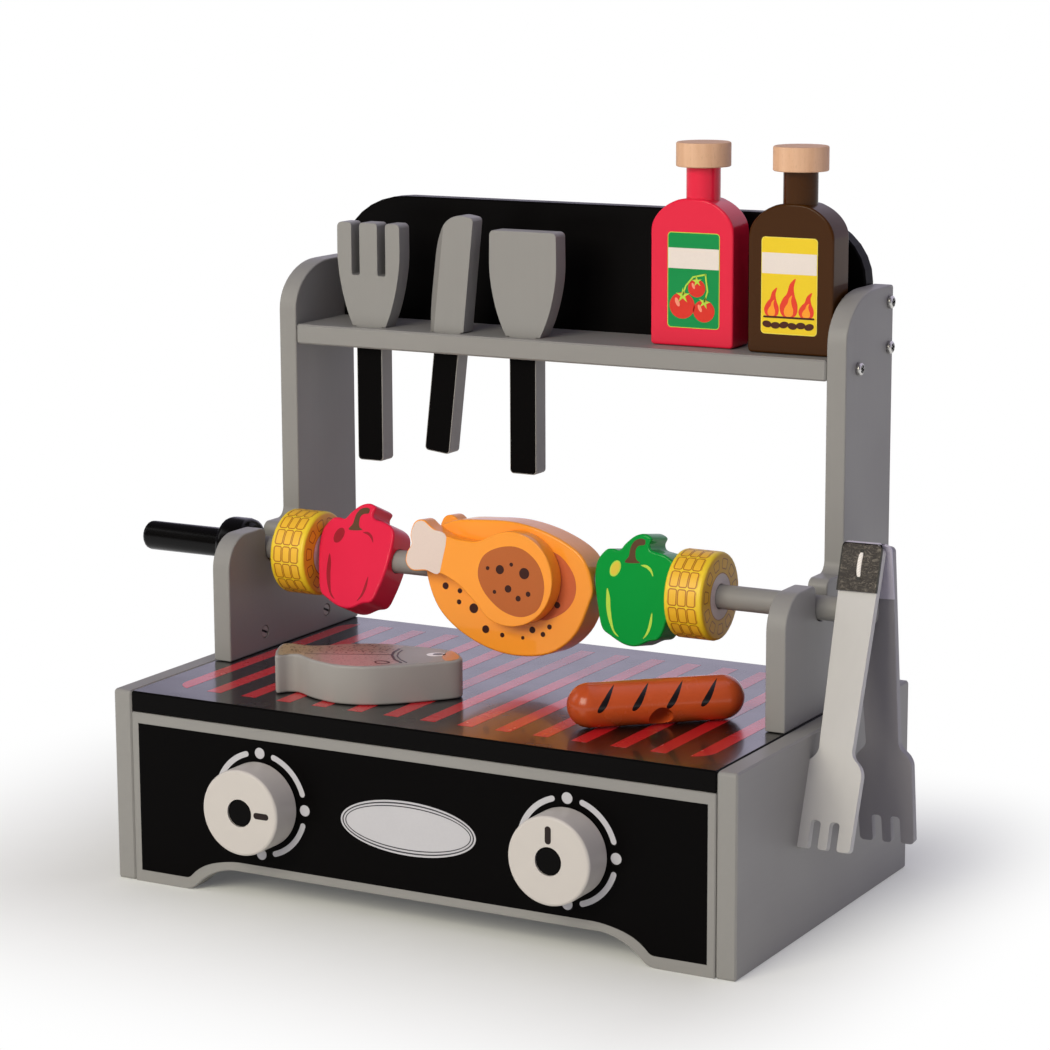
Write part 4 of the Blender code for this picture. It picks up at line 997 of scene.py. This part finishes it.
def dress_bottles():
    """Both labels: ripe tomatoes on the red bottle, and flames over a grate on the brown one."""
    matt = 0.34
    tomato, shine = ink("tomato_ink", "D83224", matt), ink("tomato_shine_ink", "F29478", matt)
    tomatoes = (((78.4, 333.8), 7.6), ((92.3, 331.2), 6.4), ((87.6, 344.2), 5.2))
    crowns = [star((78.9, 339.6), 4.6, 1.5, 90), star((92.6, 336.2), 3.9, 1.3, 78), star((87.8, 348.2), 3.3, 1.1, 96)]
    stems = [stroke([(79.0, 340.0), (80.8, 345.4), (85.4, 350.6), (93.4, 352.4)], 0.9),
             stroke([(92.6, 336.6), (94.6, 342.6), (93.2, 352.2)], 0.9)]
    label("red_label", "red_bottle", 180.0, (69.0, 102.0, 321.0, 376.0),
          (lime_ink, ink("label_green_ink", "008E46", matt)), (355.2, 367.0), (
              ("tomatoes", [oval(centre, (size * 1.06, size)) for centre, size in tomatoes], tomato),
              ("shines", [oval((centre[0] - size * 0.4, centre[1] + size * 0.25), (size * 0.16, size * 0.36), 20, 24)
                          for centre, size in tomatoes], shine),
              ("crowns", crowns + stems, lime_ink),
          ))
    fire, heart = ink("flame_red_ink", "E2402A", matt), ink("flame_orange_ink", "F8A02C", matt)
    char = ink("char_brown_ink", "4A2214", matt)
    flames = (((137.0, 331.0), 9.0, 17.0), ((147.6, 331.0), 11.0, 22.5), ((158.4, 331.0), 9.4, 15.0))
    hearts = [((across, up + 0.6), width * 0.52, height * 0.55) for (across, up), width, height in flames]
    coals = [oval((134.4 + 5.2 * place, 327.0 - 0.5 * (place % 2)), (2.9, 1.9), 20, 12 * (place % 3) - 10)
             for place in range(6)]
    grate = stroke([(132.6, 331.2), (163.0, 331.2)], 1.1)
    label("brown_label", "brown_bottle", 175.0, (130.5, 165.0, 321.5, 376.5),
          (ink("label_yellow_edge_ink", "F4E060", matt), ink("label_yellow_ink", "EACB26", matt)), (355.8, 367.6), (
              ("flames", [flame(*tongue) for tongue in flames], fire),
              ("flame_hearts", [flame(*tongue) for tongue in hearts], heart),
              ("coals", [*coals, grate], char),
          ))


def fitted(name, node, shape, recess, turn, finish, plane):
    """A fastener in place of its plain one: the faces inside its recess are black as painted shade, and it is turned
    in its hole.
    """
    radius, low, high = recess
    # Faces inside the cross recess or slot take black: painted shade
    for part in shape.faces:
        middle = part.calc_center_median()
        part.material_index = int(math.hypot(middle.x, middle.y) < radius and low < middle.z < high)
    item = finished(name, "grill", turned(shape, turn, "Z"), finish, plane, 30.0)
    item.data.materials.append(black_paint_and_shade)
    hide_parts(node)


def fit_screws():
    """Six pan-head screws with a cross recess in place of the plain ones, and slotted barrel nuts."""
    head = [(0, -32.0), (1.8, -30.0), (1.8, 0.0), (3.7, 0.0), *arc((2.5, 1.0), (1.2, 1.4), 0, 90, 5), (0, 2.5)]
    for side, sign in (("left", -1), ("right", 1)):
        for spot, depth, height, turn in (("top", 225.0, 337.0, 8), ("back", 225.0, 311.0, 24),
                                          ("front", 181.0, 304.0, 62)):
            screw = spun(head)
            for quarter in (0, math.pi / 2):
                screw = carved(screw, block((4.6, 0.95, 2.6), 2.7, quarter))
            fitted(f"{side}_cross_screw_{spot}", f"{side}_post_screw_{spot}", screw, (2.36, 0.9, 2.44),
                   math.radians(turn * sign), zinc, face((sign * 188.3, depth, height), (0, sign, 0)))
        for spot, depth in zip(("front", "back"), CHEEK_BOLTS):
            low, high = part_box(f"{side}_barrel_nut_{spot}")
            length = (high.x - low.x) / MM
            plug = spun([(0, -length), (3.6, -length), (3.6, -0.3), (3.3, 0), (0, 0)])
            fitted(f"{side}_slotted_nut_{spot}", f"{side}_barrel_nut_{spot}", carved(plug, block((8.0, 1.4, 2.6))),
                   (3.0, -1.4, -0.1), 0.4 * sign, nut_grey, face((sign * 176.3, depth, NUT_HEIGHT), (0, -sign, 0)))


def fold_strap():
    """One leather strap over the top of the front arm and down inside the rear arm, its front edges painted black."""
    half = STRAP_THICKNESS / 2
    outer, inner = -ARM_THICKNESS - STRAP_GAP - half, STRAP_GAP + half
    top, round_front, round_rear, round_corner = 2.1, (2.6, 3.2), (2.2, 3.0), 3.5
    down = (-25.5, -22.0, -18.5, -15.0, -12.0, -9.5, -7.0, -5.0, -3.4, -2.2)
    over_front = arc((outer + round_front[0], top - round_front[1]), round_front, 180, 90, 8)
    over_rear = arc((inner - round_rear[0], top - round_rear[1] + 0.3), round_rear, 84, 0, 7)
    front, rear = tilted(FRONT_TOP, *FRONT_TILT), tilted(REAR_TOP, *REAR_TILT)
    stations = [(front, outer, height) for height in down]
    stations += [(front, *point) for point in over_front]
    stations += [(front, depth, top) for depth in (-2.7, -2.0, -1.4)]
    stations += [(rear, *point) for point in over_rear]
    stations += [(rear, inner, height * 1.13) for height in reversed(down)]
    across = (-1.0, -0.93, -0.86, -0.7, -0.5, -0.25, 0.0, 0.25, 0.5, 0.7, 0.86, 0.93, 1.0)
    rows, columns, painted_rows = len(stations) - 1, len(across) - 1, len(down) + 4
    strap = bmesh.new()
    bmesh.ops.create_grid(strap, x_segments=columns, y_segments=rows, size=1.0)
    skin_side, flesh_side, edge_side = 0, 1, 3
    for part in strap.faces:
        middle = part.calc_center_median()
        row, column = int((middle.y + 1) / 2 * rows), int((middle.x + 1) / 2 * columns)
        part.material_index = flesh_side
        if row < painted_rows:
            part.material_index = edge_side if column in (0, columns - 1) or row == painted_rows - 1 else skin_side
    for corner in strap.verts:
        place, depth, height = stations[round((corner.co.y + 1) / 2 * rows)]
        side = across[round((corner.co.x + 1) / 2 * columns)]
        drop = min(round_corner, max(0.0, round_corner - (top - height)))
        width = STRAP_HALF - round_corner + math.sqrt(round_corner ** 2 - drop ** 2)
        corner.co = place @ Vector((side * width, depth, height))
    bmesh.ops.recalc_face_normals(strap, faces=strap.faces[:])
    strap.faces.ensure_lookup_table()
    if strap.faces[0].normal.y > 0:
        bmesh.ops.reverse_faces(strap, faces=strap.faces[:])
    skin, flesh = strap_skin(), strap_flesh()
    layers = (skin, flesh, flesh, black_paint_and_shade, flesh, black_paint_and_shade)
    sheet = meshed("strap_sheet", strap)
    for finish in layers:
        sheet.data.materials.append(finish)
    solid = sheet.modifiers.new("thickness", "SOLIDIFY")
    solid.thickness = STRAP_THICKNESS * MM
    solid.offset = 0.0
    solid.use_even_offset = True
    solid.material_offset = 1
    solid.material_offset_rim = 3
    item = meshed("tongs_strap", solid_of(sheet))
    for finish in layers:
        item.data.materials.append(finish)
    item.data.shade_smooth()
    item.data.set_sharp_from_angle(angle=math.radians(50))
    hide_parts("tongs_front_strap", "tongs_rear_strap")
    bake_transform(item)


def sew_strap():
    """A long stitch on each side of both arms, and the two holes that it goes through at the front, drawn as black
    ovals of painted shade.
    """
    front, rear = tilted(FRONT_TOP, *FRONT_TILT), tilted(REAR_TOP, *REAR_TILT)
    thread, middle = waxed_thread(), -10.6
    strap_front = -ARM_THICKNESS - STRAP_GAP - STRAP_THICKNESS
    for name, body, place, depth, bulge in (
        ("front_stitch", "tongs", front, strap_front, -1),
        ("front_stitch_inside", "tongs", front, 0.0, 1),
        ("rear_stitch", "tongs_rear", rear, STRAP_GAP, -1),
        ("rear_stitch_outside", "tongs_rear", rear, 2 * STRAP_GAP + STRAP_THICKNESS + ARM_THICKNESS, 1),
    ):
        stitch = bmesh.new()
        bmesh.ops.create_uvsphere(stitch, u_segments=20, v_segments=20, radius=1.0)
        for corner in stitch.verts:
            along = corner.co.z
            fuller = 0
            if abs(along) < 1:
                fuller = min(3.0, math.sqrt(1 - along ** 6) / max(0.02, math.sqrt(1 - along ** 2)))
            sway, sink = 0.5 * (along ** 2 - 0.5), 0.6 * along ** 4
            corner.co = Vector((corner.co.x * fuller * 1.3 + sway, corner.co.y * fuller * 0.55 - sink * bulge,
                                along * 7.4 + middle))
        bmesh.ops.translate(stitch, verts=stitch.verts, vec=(0, depth + 0.2 * bulge, 0))
        finished(name, body, stitch, thread, place, 180.0)
    # The holes are black ovals: painted shade
    holes = [[oval((0.25, middle + end), (1.25, 1.05), 20)] for end in (-7.7, 7.7)]
    plane = front @ Matrix.Translation((0, strap_front, 0)) @ Matrix.Rotation(math.pi / 2, 4, "X")
    printed("front_stitch_hole_shade", "tongs", plane, holes, black_paint_and_shade, 1)


def light_room():
    """A room that is white to the camera and dimmer as light, its reflection darker in front and past the paper."""
    world = bpy.data.worlds.new("white_room")
    bpy.context.scene.world = world
    world.use_nodes = True
    node = partial(add, world.node_tree)
    rays = node("LightPath").outputs
    across, deep, _ = node("SeparateXYZ", node("TexCoord").outputs["Generated"]).outputs
    behind = node("MapRange SMOOTHSTEP", deep, -0.5, 0.25, 0.16, 1.0)
    bearing = node("Math ARCTAN2", across, deep)
    paper_end = node("MapRange SMOOTHSTEP", bearing, -0.7, -0.58, 0.12, 1.0)
    reflected = node("Math MULTIPLY", behind, paper_end)
    lit = node("Mix", rays["Is Glossy Ray"], AMBIENT, reflected)
    seen = node("Math MAXIMUM", rays["Is Camera Ray"], rays["Is Transmission Ray"])
    room = world.node_tree.nodes["Background"]
    wire(room.inputs["Strength"], node("Mix", seen, lit, 1.0))
    wire(room.inputs["Color"], node("Mix RGBA", seen, "ECE6FF", (1.0, 1.0, 1.0, 1.0)))


def lay_floor():
    """A pale paper floor that turns into white light away from the toy's feet, sooner on the right."""
    ground = bmesh.new()
    bmesh.ops.create_circle(ground, cap_ends=True, segments=64, radius=6.0)
    floor = meshed("pale_floor", ground)
    right_edge, left_edge, deep_edge, sooner = 0.19, 0.2, 0.11, 1.7
    material, node, place = started("pale_paper_floor", Roughness=0.9, Specular_IOR_Level=0.1)
    across, deep, _ = node("SeparateXYZ", place).outputs
    right = node("Math MULTIPLY", node("Math SUBTRACT", across, right_edge), sooner)
    left = node("Math SUBTRACT", node("Math MULTIPLY", across, -1.0), left_edge)
    deeper = node("Math SUBTRACT", node("Math ABSOLUTE", deep), deep_edge)
    squares = []
    for beyond in (node("Math MAXIMUM", right, left), deeper):
        distance = node("Math MAXIMUM", beyond, 0.0)
        squares.append(node("Math MULTIPLY", distance, distance))
    away = node("Math SQRT", node("Math ADD", *squares))
    fade = node("MapRange SMOOTHSTEP", away, -0.05, 0.24)
    grain = node("TexNoise", place, 30.0)
    paper = material.node_tree.nodes["Principled BSDF"]
    wire(paper.inputs["Base Color"], node("Mix RGBA", grain, "F1F3EC", "F5F7F0"))
    rays = node("LightPath").outputs
    seen = node("Math MAXIMUM", node("Math MAXIMUM", rays["Is Camera Ray"], rays["Is Glossy Ray"]),
                rays["Is Transmission Ray"])
    far = node("Math MULTIPLY", fade, seen)
    white = node("Emission", Strength=1.0)
    wire(material.node_tree.nodes["Material Output"].inputs["Surface"], node("MixShader", far, paper, white))
    floor.data.materials.append(material)


def hang_lamps():
    """A large soft lamp over the camera's left, a weaker one on the left, and a low strip close on the right."""
    for name, at, size, power, tint in LAMPS:
        lamp = bpy.data.lights.new(name, "AREA")
        lamp.shape = "RECTANGLE"
        lamp.size, lamp.size_y = size
        lamp.energy = power
        lamp.color = linear(tint)[:3]
        item = linked(name, lamp)
        item.location = at
        item.rotation_euler = (Vector((0, 0, 0.15)) - Vector(at)).to_track_quat("-Z", "Y").to_euler()


def place_camera():
    """The camera stands to the right front, a little above the shelf, as in the photograph."""
    camera = bpy.data.cameras.new("camera")
    camera.sensor_width = 36.0
    camera.lens = 109.99
    camera.clip_end = 50.0
    right = Vector((0.87586, 0.48255, -0.00402))
    up = Vector((-0.08783, 0.16759, 0.98194))
    back = Vector((0.47451, -0.85969, 0.18916))
    item = linked("camera", camera)
    eye = Matrix.Translation(in_frame((886.62, -1472.69, 559.43)))
    item.matrix_world = eye @ Matrix((right, up, back)).transposed().to_4x4()
    bpy.context.scene.camera = item
    bpy.context.scene.view_settings.view_transform = "Standard"


shape_uprights()
shape_food()
shape_utensils()
shape_bottles()
shape_tongs()
shape_knobs()
shape_sausage()
print_front()
print_grill_bars()
print_knobs()
print_handles()
print_peppers()
print_chicken()
print_fish()
dress_bottles()
fit_screws()
fold_strap()
sew_strap()
light_room()
lay_floor()
hang_lamps()
place_camera()
